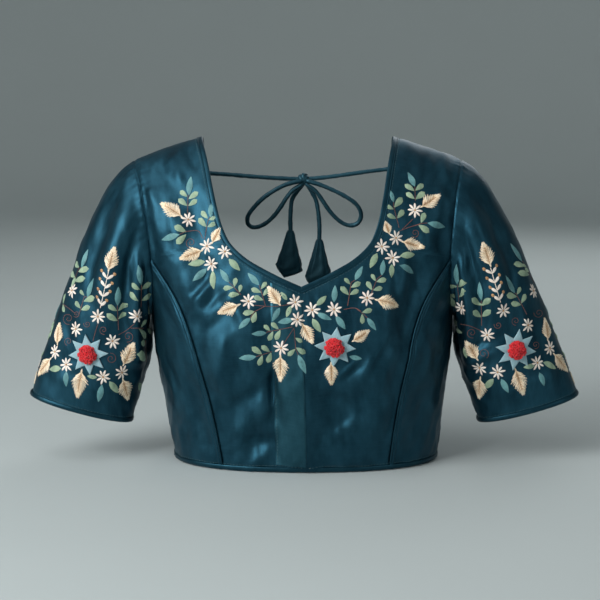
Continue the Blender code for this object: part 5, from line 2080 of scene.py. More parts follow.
@dataclass
class FeltStar:
    """A felt star with eight points and a cluster of red wool knots on its middle."""

    skin: Skin
    area: Area
    across: float
    height: float
    turn: float
    tip: float = 21.0
    notch: float = 13.2
    lift: float = 1.0
    thickness: float = 1.4
    wool: float = 11.6
    wool_height: float = 8.4
    wool_knots: int = 58
    edge_points: int = 192

    @property
    def name(self) -> str:
        """The word for its place in node names."""
        return self.area.name.lower()

    def build(self) -> None:
        """Makes the star and its wool."""
        middle, normal = self.skin.front(self.area, self.across, self.height)
        side = unit(np.cross(normal, [0, 0, 1.0])) * -1
        side = side if side[0] > 0 else -side
        up = np.cross(normal, side)
        up = up if up[2] > 0 else -up
        self.felt(middle, side, up)
        self.knots(middle + normal * (self.lift + self.thickness) * MM, normal, side, up)

    def outline(self, sides: int) -> tuple[Array, Array]:
        """The angles and reaches of the star's edge, straight between its tips and notches.

        Args:
            sides: how many points it has.

        Returns:
            The angles and reaches.
        """
        at = np.arange(sides) / sides * 16
        low = np.floor(at)
        share = at - low
        turns = math.radians(self.turn) + math.pi / 8 * np.stack([low, low + 1])
        reach = np.where(np.stack([low, low + 1]) % 2 == 0, self.tip, self.notch)
        x = (reach * np.sin(turns) * np.stack([1 - share, share])).sum(axis=0)
        y = (reach * np.cos(turns) * np.stack([1 - share, share])).sum(axis=0)
        return np.arctan2(x, y), np.hypot(x, y)

    def felt(self, middle: Array, side: Array, up: Array) -> None:
        """Makes the felt.

        Args:
            middle: its middle on the cloth.
            side: the way across the star.
            up: the way up the star.
        """
        sides = self.edge_points
        out = np.cross(side, up)
        out = out if out[1] < 0 else -out
        angle, reach = self.outline(sides)
        rings = []
        layers = [
            (0.25, 1.0), (0.5, 1.0), (0.75, 1.0), (0.9, 0.98), (0.965, 0.88), (0.995, 0.6), (1.0, 0.3),
            (0.985, 0.0), (0.5, 0.0)
        ]
        way = side * np.sin(angle)[:, None] + up * np.cos(angle)[:, None]
        for share, rise in layers:
            flat = middle + way * (reach * share * MM)[:, None]
            fuzz = 0.05 * np.sin(angle * 31) + 0.05 * np.sin(angle * 53 + 1)
            ridge = 0.35 * np.abs(np.cos((angle - math.radians(self.turn)) * 4)) ** 3 * share * rise
            above = (self.lift + (self.thickness + ridge) * rise + fuzz * rise) * MM
            rings.append(self.skin.onto(self.area, flat, above, out)[0])
        points = np.concatenate(
            [self.skin.onto(self.area, middle[None], (self.lift + self.thickness) * MM)[0], *rings]
        )
        faces = [(0, 1 + (i + 1) % sides, 1 + i) for i in range(sides)]
        for j in range(len(rings) - 1):
            for i in range(sides):
                k = (i + 1) % sides
                a, b = 1 + j * sides, 1 + (j + 1) * sides
                faces.append((a + i, a + k, b + k, b + i))
        piece = make_object(f"star_{self.name}_felt", points, faces, [Finish.FELT], 60.0)
        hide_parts(f"star_{self.name}")

    def knots(self, foot: Array, normal: Array, side: Array, up: Array) -> None:
        """Makes the cluster of small wound knots of wool, over a low mound.

        Args:
            foot: the middle of the felt's face.
            normal: the way out of the cloth.
            side: the way across the star.
            up: the way up the star.
        """
        golden = math.pi * (3 - math.sqrt(5))
        mound, levels, sides = [], 9, 24
        for j in range(levels):
            lean = (j + 0.5) / levels * math.pi / 2
            ring = np.linspace(0, math.tau, sides, endpoint=False)[:, None]
            flat = (np.cos(ring) * side + np.sin(ring) * up) * math.cos(lean) * (self.wool - 2.4)
            mound.append(foot + (flat + normal * math.sin(lean) * (self.wool_height - 2.6)) * MM)
        points, faces, start = [np.array(mound).reshape(-1, 3)], tube_faces(levels, sides), levels * sides
        rng = np.random.default_rng(4)
        for k in range(self.wool_knots):
            share = (k + 0.5) / self.wool_knots
            lean = math.acos(1 - share * 0.98)
            turn = k * golden + rng.uniform(-0.25, 0.25)
            flat = math.cos(turn) * side + math.sin(turn) * up
            way = unit(math.sin(lean) * flat + math.cos(lean) * normal + rng.normal(size=3) * 0.22)
            deep = rng.uniform(-0.7, 0.5)
            out = math.sin(lean) * flat * (self.wool - 2.0 + deep)
            above = normal * (math.cos(lean) * (self.wool_height - 2.0 + deep) + 0.8)
            place = foot + (out + above) * MM
            a = unit(np.cross(way, rng.normal(size=3)))
            b = np.cross(way, a)
            t = np.linspace(0, math.tau * 1.7, 17)
            size = rng.uniform(1.15, 1.55)
            spiral = place + (
                a * np.cos(t)[:, None] * size + b * np.sin(t)[:, None] * size + way * (t / 7 - 0.6)[:, None]
            ) * MM
            rings = cord_rings(spiral / MM, np.full(len(t), 0.68), 6, k, 0.10) * MM
            points.append(rings.reshape(-1, 3))
            faces += tube_faces(len(t), 6, False, start)
            start += len(t) * 6
        piece = make_object(f"pompom_{self.name}_wool", np.concatenate(points), faces, [Finish.WOOL], 80.0)
        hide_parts(f"pompom_{self.name}")


# area, across, height, turn in degrees, reach of its points
STARS = (
    (Area.FRONT, 34.6, 142.2, 6.0, 21.8),
    (Area.SLEEVE_RIGHT, -238.2, 123.0, -5.0, 23.0),
    (Area.SLEEVE_LEFT, 235.8, 128.4, 8.0, 23.5),
)


# Embroidery

Pixel = tuple[float, float]
STITCH_POINTS = 6


class Threads:
    """Gathers an area's stitches by finish, and makes one piece of each."""

    def __init__(self, skin: Skin, name: str, area: Area) -> None:
        """Starts with no stitches."""
        self.skin, self.name, self.area = skin, name, area
        self.found: dict[Finish, list[tuple[Array, Array, Array]]] = {}

    def add(self, finish: Finish, line: Array, normal: Array, radius: Any) -> None:
        """Adds stitches: lines of points in metres, the cloth's normals there, and radii in millimetres."""
        self.found.setdefault(finish, []).append((line, normal, np.broadcast_to(radius, line.shape[:-1])))

    def build(self) -> int:
        """Makes the pieces, and returns how many stitches they have."""
        total, sides = 0, 5
        for finish, parts in self.found.items():
            line, normal, radius = (np.concatenate([part[i] for part in parts]) for i in range(3))
            tangent = unit(np.gradient(line, axis=1))
            across = unit(np.cross(tangent, normal))
            lifted = np.cross(across, tangent)
            turn = np.arange(sides) * math.tau / sides + math.pi / 2
            ends = np.ones(STITCH_POINTS)
            ends[[0, -1]] = 0.55
            reach = (radius * ends * MM)[..., None, None]
            wide = across[:, :, None] * np.cos(turn)[:, None]
            high = lifted[:, :, None] * np.sin(turn)[:, None] * 0.85
            rings = line[:, :, None] + (wide + high) * reach
            one = tube_faces(STITCH_POINTS, sides)
            size = STITCH_POINTS * sides
            faces = [tuple(n + k * size for n in face) for k in range(len(line)) for face in one]
            piece = make_object(f"{self.name}_{finish.name.lower()}", rings, faces, [finish], 75.0)
            total += len(line)
        return total


@dataclass
class Stitching:
    """Running stitches beside the trims and down the placket."""

    skin: Skin
    trims: Trims
    length: float = 2.3
    gap: float = 1.3
    radius: float = 0.24
    placket_across: float = -30.6
    placket_low: float = 8.0
    placket_high: float = 196.0

    def build(self) -> None:
        """Sews every line."""
        rows = {
            "neck_binding_left": (Area.FRONT, 6.4),
            "neck_binding_right": (Area.FRONT, 6.4),
            "back_neck_binding": (Area.BACK, 6.4),
            "hem_binding": (Area.TRUNK, 7.4),
            "cuff_binding_left": (Area.SLEEVE_LEFT, 6.6),
            "cuff_binding_right": (Area.SLEEVE_RIGHT, 6.6),
        }
        for name, (area, away) in rows.items():
            edge, inward = self.trims.edges[name]
            self.line(name, area, stand(edge + inward * away))
        height = np.linspace(self.placket_low, self.placket_high, 95)
        down = [self.skin.front(Area.FRONT, self.placket_across, z)[0] for z in height]
        self.line("hook_placket", Area.FRONT, np.array(down))

    def line(self, name: str, area: Area, places: Array) -> None:
        """Sews one line of stitches through places in metres.

        Args:
            name: its name.
            area: the panels that it lies on.
            places: places beside the trim, in metres.
        """
        along = run_of(places) / MM
        start = np.arange(2.0, along[-1] - self.length - 1.5, self.length + self.gap)
        at = start[:, None] + np.linspace(0, self.length, STITCH_POINTS)
        flat = np.stack([np.interp(at, along, places[:, i]) for i in range(3)], axis=-1)
        rise = 0.32 * np.sin(math.pi * np.linspace(0, 1, STITCH_POINTS)) - 0.08
        line, normal = self.skin.onto(area, flat, np.broadcast_to(rise, at.shape) * MM)
        threads = Threads(self.skin, f"stitching_{name}", area)
        threads.add(Finish.SEWING, line, normal, self.radius)
        log.info("stitching %s: %d", name, threads.build())


@dataclass
class Patch:
    """A place on the cloth where a motif is sewn, measured in millimetres along and aside."""

    threads: Threads
    origin: Array
    along: Array
    normal: Array
    length: float

    @classmethod
    def between(cls, threads: Threads, start: Array, end: Array) -> Patch:
        """A patch from one place on the cloth to another.

        Args:
            threads: the stitches that it adds to.
            start: where it starts.
            end: where it ends.

        Returns:
            The patch.
        """
        _, normal = threads.skin.onto(threads.area, (start + end)[None] / 2, 0.0)
        along = end - start
        along = along - normal[0] * (along @ normal[0])
        return cls(threads, start, unit(along), normal[0], float(np.linalg.norm(end - start)) / MM)

    def sew(self, finish: Finish, flat: Array, up: Any, radius: Any) -> None:
        """Sews stitches at flat places, raised from the cloth by up.

        Args:
            finish: its thread.
            flat: places on the patch, along and aside.
            up: how far it stands up from the cloth.
            radius: its radius.
        """
        aside = np.cross(self.normal, self.along)
        spread = self.origin + (flat[..., :1] * self.along + flat[..., 1:] * aside) * MM
        line, normal = self.threads.skin.onto(
            self.threads.area, spread, np.broadcast_to(up, flat.shape[:-1]) * MM, self.normal
        )
        self.threads.add(finish, line, normal, radius)

    def bundle(
        self, finish: Finish, start: Pixel, end: Pixel, width: float, count: int, thread: float,
        fullest: float = 0.5, blunt: float = 1.0, rise: float = 0.5
    ) -> None:
        """Sews a satin-stitched shape of threads that run side by side from start to end.

        Args:
            finish: the thread.
            start: where the threads start, in millimetres along and aside.
            end: where they end.
            width: the width at the fullest place.
            count: how many threads.
            thread: a thread's radius.
            fullest: where along it is widest.
            blunt: below 1 for round ends, above 1 for long points.
            rise: how far the middle stands up.
        """
        start, end = np.array(start, float), np.array(end, float)
        way = unit(end - start)
        side = np.array([-way[1], way[0]])
        t = np.linspace(0, 1, STITCH_POINTS)
        bend = math.log(0.5) / math.log(fullest)
        swell = np.clip(np.sin(math.pi * t**bend), 0, 1) ** blunt
        place = np.linspace(-0.5, 0.5, count) if count > 1 else np.zeros(1)
        flat = start + (end - start) * t[None, :, None] + side * (place[:, None] * width * swell)[..., None]
        arch = np.sin(math.pi * t) ** 0.4
        up = arch * (thread * 0.5 + rise * (1 - (1.6 * place[:, None]) ** 2) * swell) - 0.12
        self.sew(finish, flat, up, thread)


class Motif:
    """A sewn motif."""

    def sew(self, threads: Threads, look: Any) -> None:
        """Sews it; look turns a picture place into a place on the cloth."""
        raise NotImplementedError


@dataclass(frozen=True)
class Daisy(Motif):
    """A white flower with eight open petals and a knotted middle."""

    x: float
    y: float
    radius: float = 8.7
    turn: float = 0.2

    def sew(self, threads: Threads, look: Any) -> None:
        """Sews the petals and the middle.

        Args:
            threads: the stitches that it adds to.
            look: turns a place in the picture into a place on the cloth.
        """
        middle = look((self.x, self.y))
        above = look((self.x, self.y - 3))
        patch = Patch.between(threads, middle, above)
        spin = self.turn + self.x * 0.37 + self.y * 0.21
        for k in range(8):
            angle = spin + k * math.pi / 4 + 0.07 * math.sin(k * 5 + self.x)
            reach = self.radius * (0.96 + 0.08 * math.sin(k * 3.3 + self.y))
            way = np.array([math.cos(angle), math.sin(angle)])
            patch.bundle(Finish.WHITE, tuple(way * 0.9), tuple(way * reach), 1.55, 3, 0.44, 0.58, 0.9, 0.6)
        french_knot(patch, (0.0, 0.0), 1.05, Finish.TAN)


def french_knot(patch: Patch, at: Pixel, radius: float, finish: Finish) -> None:
    """Sews a small wound knot.

    Args:
        patch: the patch that it is sewn on.
        at: its place on the patch.
        radius: its radius.
        finish: its thread.
    """
    turn = np.linspace(0, math.tau * 0.4, STITCH_POINTS)[None] + np.arange(3)[:, None] * math.tau / 3
    ring = np.stack([at[0] + radius * 0.62 * np.cos(turn), at[1] + radius * 0.62 * np.sin(turn)], axis=-1)
    patch.sew(finish, ring, 0.55 + 0.0 * turn, 0.5)
    t = np.linspace(-0.5, 0.5, STITCH_POINTS)[None]
    cap = np.stack([at[0] + radius * t, at[1] + 0.2 * radius * t], axis=-1)
    patch.sew(finish, cap, 1.0 - 1.6 * t**2, 0.5)


class LeafKind(Enum):
    """The kinds of leaf: thread, width as a share of the length, number of threads and bluntness."""

    GREEN = (Finish.LEAF, 0.36, 7, 0.95)
    BLUE = (Finish.TEAL, 0.31, 7, 1.15)
    TEAL = (Finish.TEAL, 0.34, 7, 1.05)
    LEAFLET = (Finish.LEAF, 0.43, 7, 0.62)


@dataclass(frozen=True)
class Leaf(Motif):
    """A satin-stitched leaf from its base to its tip."""

    kind: LeafKind
    base: Pixel
    tip: Pixel

    def sew(self, threads: Threads, look: Any) -> None:
        """Sews the leaf.

        Args:
            threads: the stitches that it adds to.
            look: turns a place in the picture into a place on the cloth.
        """
        finish, share, count, blunt = self.kind.value
        patch = Patch.between(threads, look(self.base), look(self.tip))
        width = min(patch.length * share, 6.2)
        fullest = 0.66 if self.kind is LeafKind.LEAFLET else 0.45
        patch.bundle(
            finish, (0.0, 0.0), (patch.length, 0.0), width, count, 0.10 + width / count * 0.56, fullest,
            blunt, 0.65
        )
        if self.kind is not LeafKind.LEAFLET:
            patch.bundle(
                Finish.SEWING, (0.1 * patch.length, 0.0), (0.86 * patch.length, 0.0), 0.0, 1, 0.26, rise=0.95
            )


@dataclass(frozen=True)
class Feather(Motif):
    """A cream leaf of slanting stitches with a ragged edge and a tan spine."""

    base: Pixel
    tip: Pixel
    rows: int = 12

    def sew(self, threads: Threads, look: Any) -> None:
        """Sews both sides, the spine and the stalk.

        Args:
            threads: the stitches that it adds to.
            look: turns a place in the picture into a place on the cloth.
        """
        patch = Patch.between(threads, look(self.base), look(self.tip))
        length = patch.length
        half = min(max(0.29 * length, 5.2), 9.0)
        t = np.linspace(0, 1, STITCH_POINTS)
        rng = np.random.default_rng(int(abs(self.base[0] * 7 + self.base[1])))
        start = 0.12
        spine, edge, sides = [], [], []
        for i in range(2 * self.rows):
            share = i / (2 * self.rows - 1)
            for side in (-1, 1):
                foot = start + (0.80 - start) * share
                far = foot + 0.13 + 0.07 * share
                at = (far - start) / (1.0 - start)
                full = min(at / 0.36, 1.0) ** 0.75 * (1 - max(0.0, (at - 0.36) / 0.72) ** 1.25)
                ragged = (0.80, 1.10, 0.92)[i % 3] * (1 + rng.uniform(-0.06, 0.06))
                spine.append((foot * length, side * 0.25))
                edge.append((far * length * (1 + 0.012 * (i % 2)), side * half * full * ragged))
                sides.append(side)
        spine, edge = np.array(spine), np.array(edge)
        bow = np.stack([-np.ones(len(sides)), np.array(sides) * 0.5], axis=-1)[:, None]
        curve = 0.45 * np.sin(math.pi * t)[None, :, None] * bow
        flat = spine[:, None] + (edge - spine)[:, None] * t[None, :, None] + curve
        up = 0.10 + 0.75 * np.sin(math.pi * (0.15 + 0.80 * t)) ** 0.8
        patch.sew(Finish.CREAM, flat, up, 0.46)
        patch.bundle(Finish.CREAM, (0.72 * length, 0.0), (length, 0.0), half * 0.5, 5, 0.45, 0.35, 1.2, 0.5)
        patch.bundle(Finish.CREAM, (-0.01 * length, 0.0), ((start + 0.08) * length, 0.0), 1.1, 2, 0.45)
        ticks = np.linspace(start + 0.06, 0.72, 9)
        marks = []
        for i, foot in enumerate(ticks):
            for side in (-1, 1):
                inner = np.array([foot * length, 0.0])
                outer = np.array([(foot + 0.10) * length, side * half * (0.34 + 0.14 * (i % 2))])
                marks.append(inner + (outer - inner) * t[:, None])
        patch.sew(Finish.TAN, np.array(marks), 0.85 + 0.30 * np.sin(math.pi * t), 0.24)
        spine_at = np.linspace(start, 0.80, 7)
        places = spine_at[:-1, None] + (spine_at[1:] - spine_at[:-1])[:, None] * t
        line = np.stack([places * length, np.zeros((6, STITCH_POINTS))], axis=-1)
        patch.sew(Finish.TAN, line, 0.85 + 0.30 * np.sin(math.pi * t), 0.30)


@dataclass(frozen=True)
class Stem(Motif):
    """A line of back stitches through places in the picture."""

    points: tuple[Pixel, ...]
    finish: Finish = Finish.BROWN
    radius: float = 0.34

    def sew(self, threads: Threads, look: Any) -> None:
        """Sews the line, stitch by stitch.

        Args:
            threads: the stitches that it adds to.
            look: turns a place in the picture into a place on the cloth.
        """
        route = smooth_route([(x, y, 0.0) for x, y in self.points], 1.2)[:, :2]
        places = np.array([look(tuple(point)) for point in route])
        _, out = threads.skin.onto(threads.area, places, 0.0)
        along = run_of(places) / MM
        count = max(1, round(along[-1] / 2.6))
        ends = np.linspace(0, along[-1], count + 1)
        t = np.linspace(-0.03, 1.03, STITCH_POINTS)
        at = ends[:-1, None] + (ends[1:] - ends[:-1])[:, None] * t
        line = np.stack([np.interp(at, along, places[:, i]) for i in range(3)], axis=-1)
        rise = 0.10 + 0.30 * np.sin(math.pi * np.linspace(0, 1, STITCH_POINTS))
        line, normal = threads.skin.onto(
            threads.area, line, np.broadcast_to(rise, at.shape) * MM, unit(out.mean(axis=0))
        )
        threads.add(self.finish, line, normal, self.radius)


@dataclass(frozen=True)
class Curl(Motif):
    """A small spiral of back stitches."""

    x: float
    y: float
    radius: float = 5.2
    turn: float = 0.0
    hand: int = 1

    def sew(self, threads: Threads, look: Any) -> None:
        """Sews the spiral from its middle outward.

        Args:
            threads: the stitches that it adds to.
            look: turns a place in the picture into a place on the cloth.
        """
        t = np.linspace(0.12, 1, 26)
        angle = self.turn + self.hand * math.tau * 1.7 * t
        reach = self.radius * t
        points = tuple(
            (float(self.x + r * math.cos(a)), float(self.y - r * math.sin(a)))
            for r, a in zip(reach, angle, strict=True)
        )
        Stem(points, radius=0.28).sew(threads, look)


@dataclass(frozen=True)
class Sprig(Motif):
    """A stem with pairs of leaflets and a longer leaf on its tip."""

    stem: tuple[Pixel, ...]
    leaflets: tuple[Pixel, ...]
    tip: tuple[Pixel, Pixel] | None = None

    def sew(self, threads: Threads, look: Any) -> None:
        """Sews the stem and its leaves.

        Args:
            threads: the stitches that it adds to.
            look: turns a place in the picture into a place on the cloth.
        """
        Stem(self.stem).sew(threads, look)
        first, last = np.array(self.stem[0], float), np.array(self.stem[-1], float)
        way = unit(last - first)
        for centre in self.leaflets:
            reach = np.array(centre) - first
            ahead = float(reach @ way)
            away = float(np.linalg.norm(reach - way * ahead))
            base = first + way * max(0.0, ahead - 0.75 * away)
            out = unit(np.array(centre) - base)
            tip = np.array(centre) + out * 5.0
            Leaf(LeafKind.LEAFLET, tuple(base + out * 0.8), tuple(tip)).sew(threads, look)
        if self.tip:
            Stem((tuple(last), self.tip[0])).sew(threads, look)
            Leaf(LeafKind.BLUE, *self.tip).sew(threads, look)


@dataclass(frozen=True)
class Stalk(Motif):
    """An upright stalk of white petals in pairs, with a tan knot on each."""

    foot: Pixel
    head: Pixel
    knots: tuple[Pixel, ...]

    def sew(self, threads: Threads, look: Any) -> None:
        """Sews the stalk, its petals and its knots.

        Args:
            threads: the stitches that it adds to.
            look: turns a place in the picture into a place on the cloth.
        """
        Stem((self.foot, self.head), Finish.WHITE, 0.45).sew(threads, look)
        first, last = np.array(self.foot, float), np.array(self.head, float)
        way = unit(last - first)
        for knot in self.knots:
            reach = np.array(knot) - first
            ahead = float(reach @ way)
            base = first + way * (ahead - 6.5)
            top = np.array(knot)
            patch = Patch.between(threads, look(tuple(base)), look(tuple(base + (top - base) * 0.86)))
            patch.bundle(Finish.WHITE, (0.0, 0.0), (patch.length, 0.0), 2.5, 4, 0.45, 0.6, 0.8, 0.6)
            spot = Patch.between(threads, look(tuple(top)), look((top[0], top[1] - 2)))
            french_knot(spot, (0.0, 0.0), 1.9, Finish.TAN)
            french_knot(spot, (0.9, 0.6), 1.2, Finish.TAN)


# Places in the picture, in its pixels, from base to tip
GREEN, BLUE, TEAL, LEAFLET = LeafKind
RIGHT_NECK = [
    Sprig(
        ((187.6, 213.7), (188, 196)), ((184, 194), (194, 195), (182.5, 202), (193, 202.5)),
        ((189, 195), (191, 176.5))
    ),
    Feather((182.5, 217), (160.6, 203)),
    Daisy(188.4, 219.6),
    Sprig(((203, 238.5), (198, 231), (185.5, 231.5)), (), ((179.5, 234.4), (162.4, 239.7))),
    Leaf(LEAFLET, (186, 232), (174.4, 226)),
    Leaf(LEAFLET, (186, 234.5), (176.5, 243.8)),
    Sprig(
        ((204.6, 239.7), (208, 221)), ((204.7, 215), (202, 222), (214.4, 217), (211.5, 225)),
        ((210.3, 217), (212.6, 201))
    ),
    Feather((212, 243.5), (221, 226)),
    Curl(191, 242.7, 5.5, 0.4),
    Daisy(207, 246.2),
    Feather((203, 250), (179.5, 259)),
    Daisy(225, 251.5),
    Daisy(211.5, 264),
    Leaf(GREEN, (205, 261.6), (188.4, 264.5)),
    Leaf(TEAL, (206.7, 268.7), (192.8, 281)),
    Leaf(GREEN, (212.6, 270.5), (213.8, 288.8)),
    Leaf(GREEN, (229, 259), (239.8, 270.5)),
    Sprig(
        ((241, 295), (229, 282)), ((235, 282.7), (228.3, 288), (240, 289.6), (233.4, 295)),
        ((229, 282.3), (220, 269.3))
    ),
]
CENTRE_FRONT = [
    Daisy(248.6, 301.4),
    Feather((240.5, 304), (218.4, 312.9)),
    Sprig(
        ((265.5, 306), (260, 287)), ((263.4, 286), (256, 290.5), (265.5, 292.7), (258.4, 298.3)),
        ((259, 285), (247.8, 273))
    ),
    Feather((280.6, 306), (268, 286.5)),
    Leaf(GREEN, (287, 300), (281, 292)),
    Stem(((253.7, 305.3), (274, 306.5), (294, 303.6))),
    Daisy(295.4, 302.3),
    Leaf(BLUE, (279.8, 307.8), (272.2, 321.3)),
    Leaf(GREEN, (290.7, 306), (286.5, 317)),
    Sprig(((265.5, 306), (254, 312)), (), ((250.3, 318), (238.5, 329))),
    Leaf(LEAFLET, (254.6, 311.6), (243, 313.6)),
    Leaf(LEAFLET, (256, 312), (252.6, 322.6)),
    Daisy(312.2, 310),
    Leaf(GREEN, (316.7, 305.3), (326.3, 296)),
    Leaf(BLUE, (316.7, 313.4), (331.4, 319.6)),
    Leaf(GREEN, (312.5, 318.8), (320.6, 332)),
    Daisy(297.4, 319.6),
    Leaf(TEAL, (293, 319.6), (278, 322.5)),
    Feather((301.6, 323), (313, 343.7)),
    Sprig(
        ((292.4, 327), (267, 332)), ((275, 326), (267.6, 328.4), (277.7, 335.3), (270.8, 336)),
        ((266.3, 333), (251.7, 334))
    ),
    Stem(((294, 328), (282.3, 345.7))),
    Daisy(281.1, 348),
    Sprig(
        ((272, 351.6), (258, 356)), ((265.5, 348.7), (256, 350), (269.2, 358), (260.4, 360.8)),
        ((256, 356.6), (239, 358.3))
    ),
    Feather((280.6, 354), (280.3, 381.8)),
    Sprig(
        ((294, 329), (295.7, 349)), ((298, 339.5), (291.5, 352.4), (301, 350.7)),
        ((298.3, 355), (305.8, 373.4))
    ),
    Feather((331, 362), (331.4, 385)),
    Leaf(TEAL, (349.5, 356.6), (361.7, 358.8)),
    Feather((352, 341.5), (369.4, 330.2)),
    Daisy(334.1, 309.5),
    Leaf(BLUE, (334, 302), (335.2, 285.5)),
    Leaf(TEAL, (336, 316), (345.3, 329.2)),
    Sprig(
        ((347.5, 306), (351.2, 282.6)), ((347.9, 281.8), (356, 284.8), (344.2, 290.2), (354.2, 292.3)),
        ((355.2, 280), (362.5, 266.4))
    ),
    Sprig(
        ((370.6, 295), (377, 279)), ((374, 278.4), (381.4, 280.5), (369.4, 285.8), (377.5, 289)),
        ((381.8, 275.2), (383.6, 259.8))
    ),
    Daisy(367.1, 298),
    Feather((374.8, 299.4), (398, 306.2)),
    Stem(((343.7, 309.5), (354, 308), (361, 311))),
    Sprig(((356, 308.5), (364, 314.5)), ((367.2, 311), (362.2, 318.8)), ((367.2, 318), (376, 330.2))),
]
LEFT_NECK = [
    Sprig(
        ((415.2, 201), (414.8, 187)), ((409, 187.3), (419.3, 187.3), (410.2, 195.7), (420.7, 195.2)),
        ((414.8, 186.6), (408, 172.3))
    ),
    Feather((420.5, 207.5), (440.2, 194.8)),
    Daisy(415, 210.2),
    Sprig(
        ((399, 228), (393.4, 205.7)), ((399, 201.6), (390, 207.7), (400.6, 214), (391.6, 216.6)),
        ((393.4, 202), (390, 190))
    ),
    Feather((389.5, 234.3), (384.5, 221)),
    Daisy(395.9, 238),
    Daisy(381.8, 246.6),
    Daisy(392.7, 257.9),
    Feather((401.5, 241.5), (423.8, 247.3)),
    Curl(415, 233, 4.6, 2.0, -1),
    Stem(((399.5, 231), (410, 227), (420, 224.5))),
    Stem(((413, 219), (402, 229.5))),
    Sprig(((410, 227), (421, 223.5)), ((423, 217.5), (425, 229.5)), ((427.5, 223), (444.8, 227))),
    Leaf(GREEN, (377, 253.4), (370.2, 267.7)),
    Leaf(GREEN, (392, 264.3), (391.4, 277.5)),
    Leaf(GREEN, (400.2, 256), (414.8, 254.4)),
    Leaf(TEAL, (399.5, 265), (413.2, 273.2)),
]
RIGHT_SLEEVE = [
    Sprig(
        ((73, 284), (79, 268.5)), ((78.6, 267), (84, 270), (74.5, 276.7), (80.4, 279.5)),
        ((81.5, 267.7), (88, 249.4))
    ),
    Daisy(72.2, 290.3),
    Leaf(LEAFLET, (71, 288), (69.5, 276)),
    Leaf(LEAFLET, (63, 304), (65.5, 293.5)),
    Leaf(LEAFLET, (63, 304), (57, 311)),
    Leaf(LEAFLET, (50, 337), (53.5, 325)),
    Stem(((63, 304), (70, 309), (75, 313))),
    Sprig(
        ((79, 315), (84.5, 296.5)), ((83, 294), (89.7, 299), (78.3, 305.4), (85.3, 308.3)),
        ((87.3, 297), (93.5, 278.4))
    ),
    Daisy(97.9, 316.5),
    Stalk(
        (100.4, 308), (108.5, 271.8),
        (
            (102, 270.7), (114.8, 274.3), (100.4, 279), (112.3, 283.3), (98.4, 289), (110.2, 291.5),
            (97.4, 297.2), (106.9, 300.5)
        )
    ),
    Feather((108.2, 271.8), (114.8, 246.8)),
    Sprig(
        ((118.4, 330), (117.2, 306)), ((112.3, 307.8), (122.5, 307), (111, 316.5), (122, 316)),
        ((117.5, 305.4), (118.4, 287))
    ),
    Sprig(
        ((140.9, 307), (141.2, 286)), ((136, 286.5), (146.5, 286), (134.7, 296), (146.2, 297.2)),
        ((141.3, 285), (138.3, 265.3))
    ),
    Daisy(137.2, 316.3),
    Leaf(GREEN, (145.5, 316), (150.5, 305)),
    Sprig(((131, 328), (144, 328)), ((143.7, 324), (147.8, 329), (143, 334)), None),
    Sprig(((146, 362), (145.5, 340)), ((145.4, 345), (138.8, 354), (143, 358.5)), None),
    Leaf(GREEN, (139, 383), (140.5, 392)),
    Curl(68.5, 318.5, 6.0, 0.5),
    Curl(76.5, 314, 3.4, 2.0, -1),
    Curl(87.3, 324, 3.6, 1.0, -1),
    Curl(103.6, 330, 4.4, 0.6),
    Stem(((93, 341), (96, 330), (98, 324))),
    Curl(128.2, 336.5, 5.6, 2.6, -1),
    Curl(68.5, 341.4, 4.2, 0.0),
    Curl(111, 358.5, 5.6, 3.6),
    Daisy(76, 329),
    Daisy(112.6, 341),
    Daisy(55, 351.7),
    Daisy(66.3, 364.6),
    Daisy(103.1, 377),
    Daisy(122, 372.5),
    Feather((57.5, 345.5), (59.9, 322.5)),
    Feather((51.5, 357.5), (38.2, 375.7)),
    Feather((82, 369), (77.5, 397.8)),
    Feather((122.9, 366), (133.9, 343)),
    Feather((122.5, 378), (128.2, 400)),
    Leaf(GREEN, (61, 368.4), (49.6, 369.2)),
    Leaf(TEAL, (66.3, 371.6), (66.3, 386.4)),
    Leaf(GREEN, (97, 377.4), (87.3, 376)),
    Leaf(GREEN, (109.4, 381.5), (118.4, 392.9)),
    Leaf(TEAL, (102, 384.7), (98.4, 401.6)),
    Stem(((134.7, 323.4), (127, 330), (118.4, 334.8))),
]
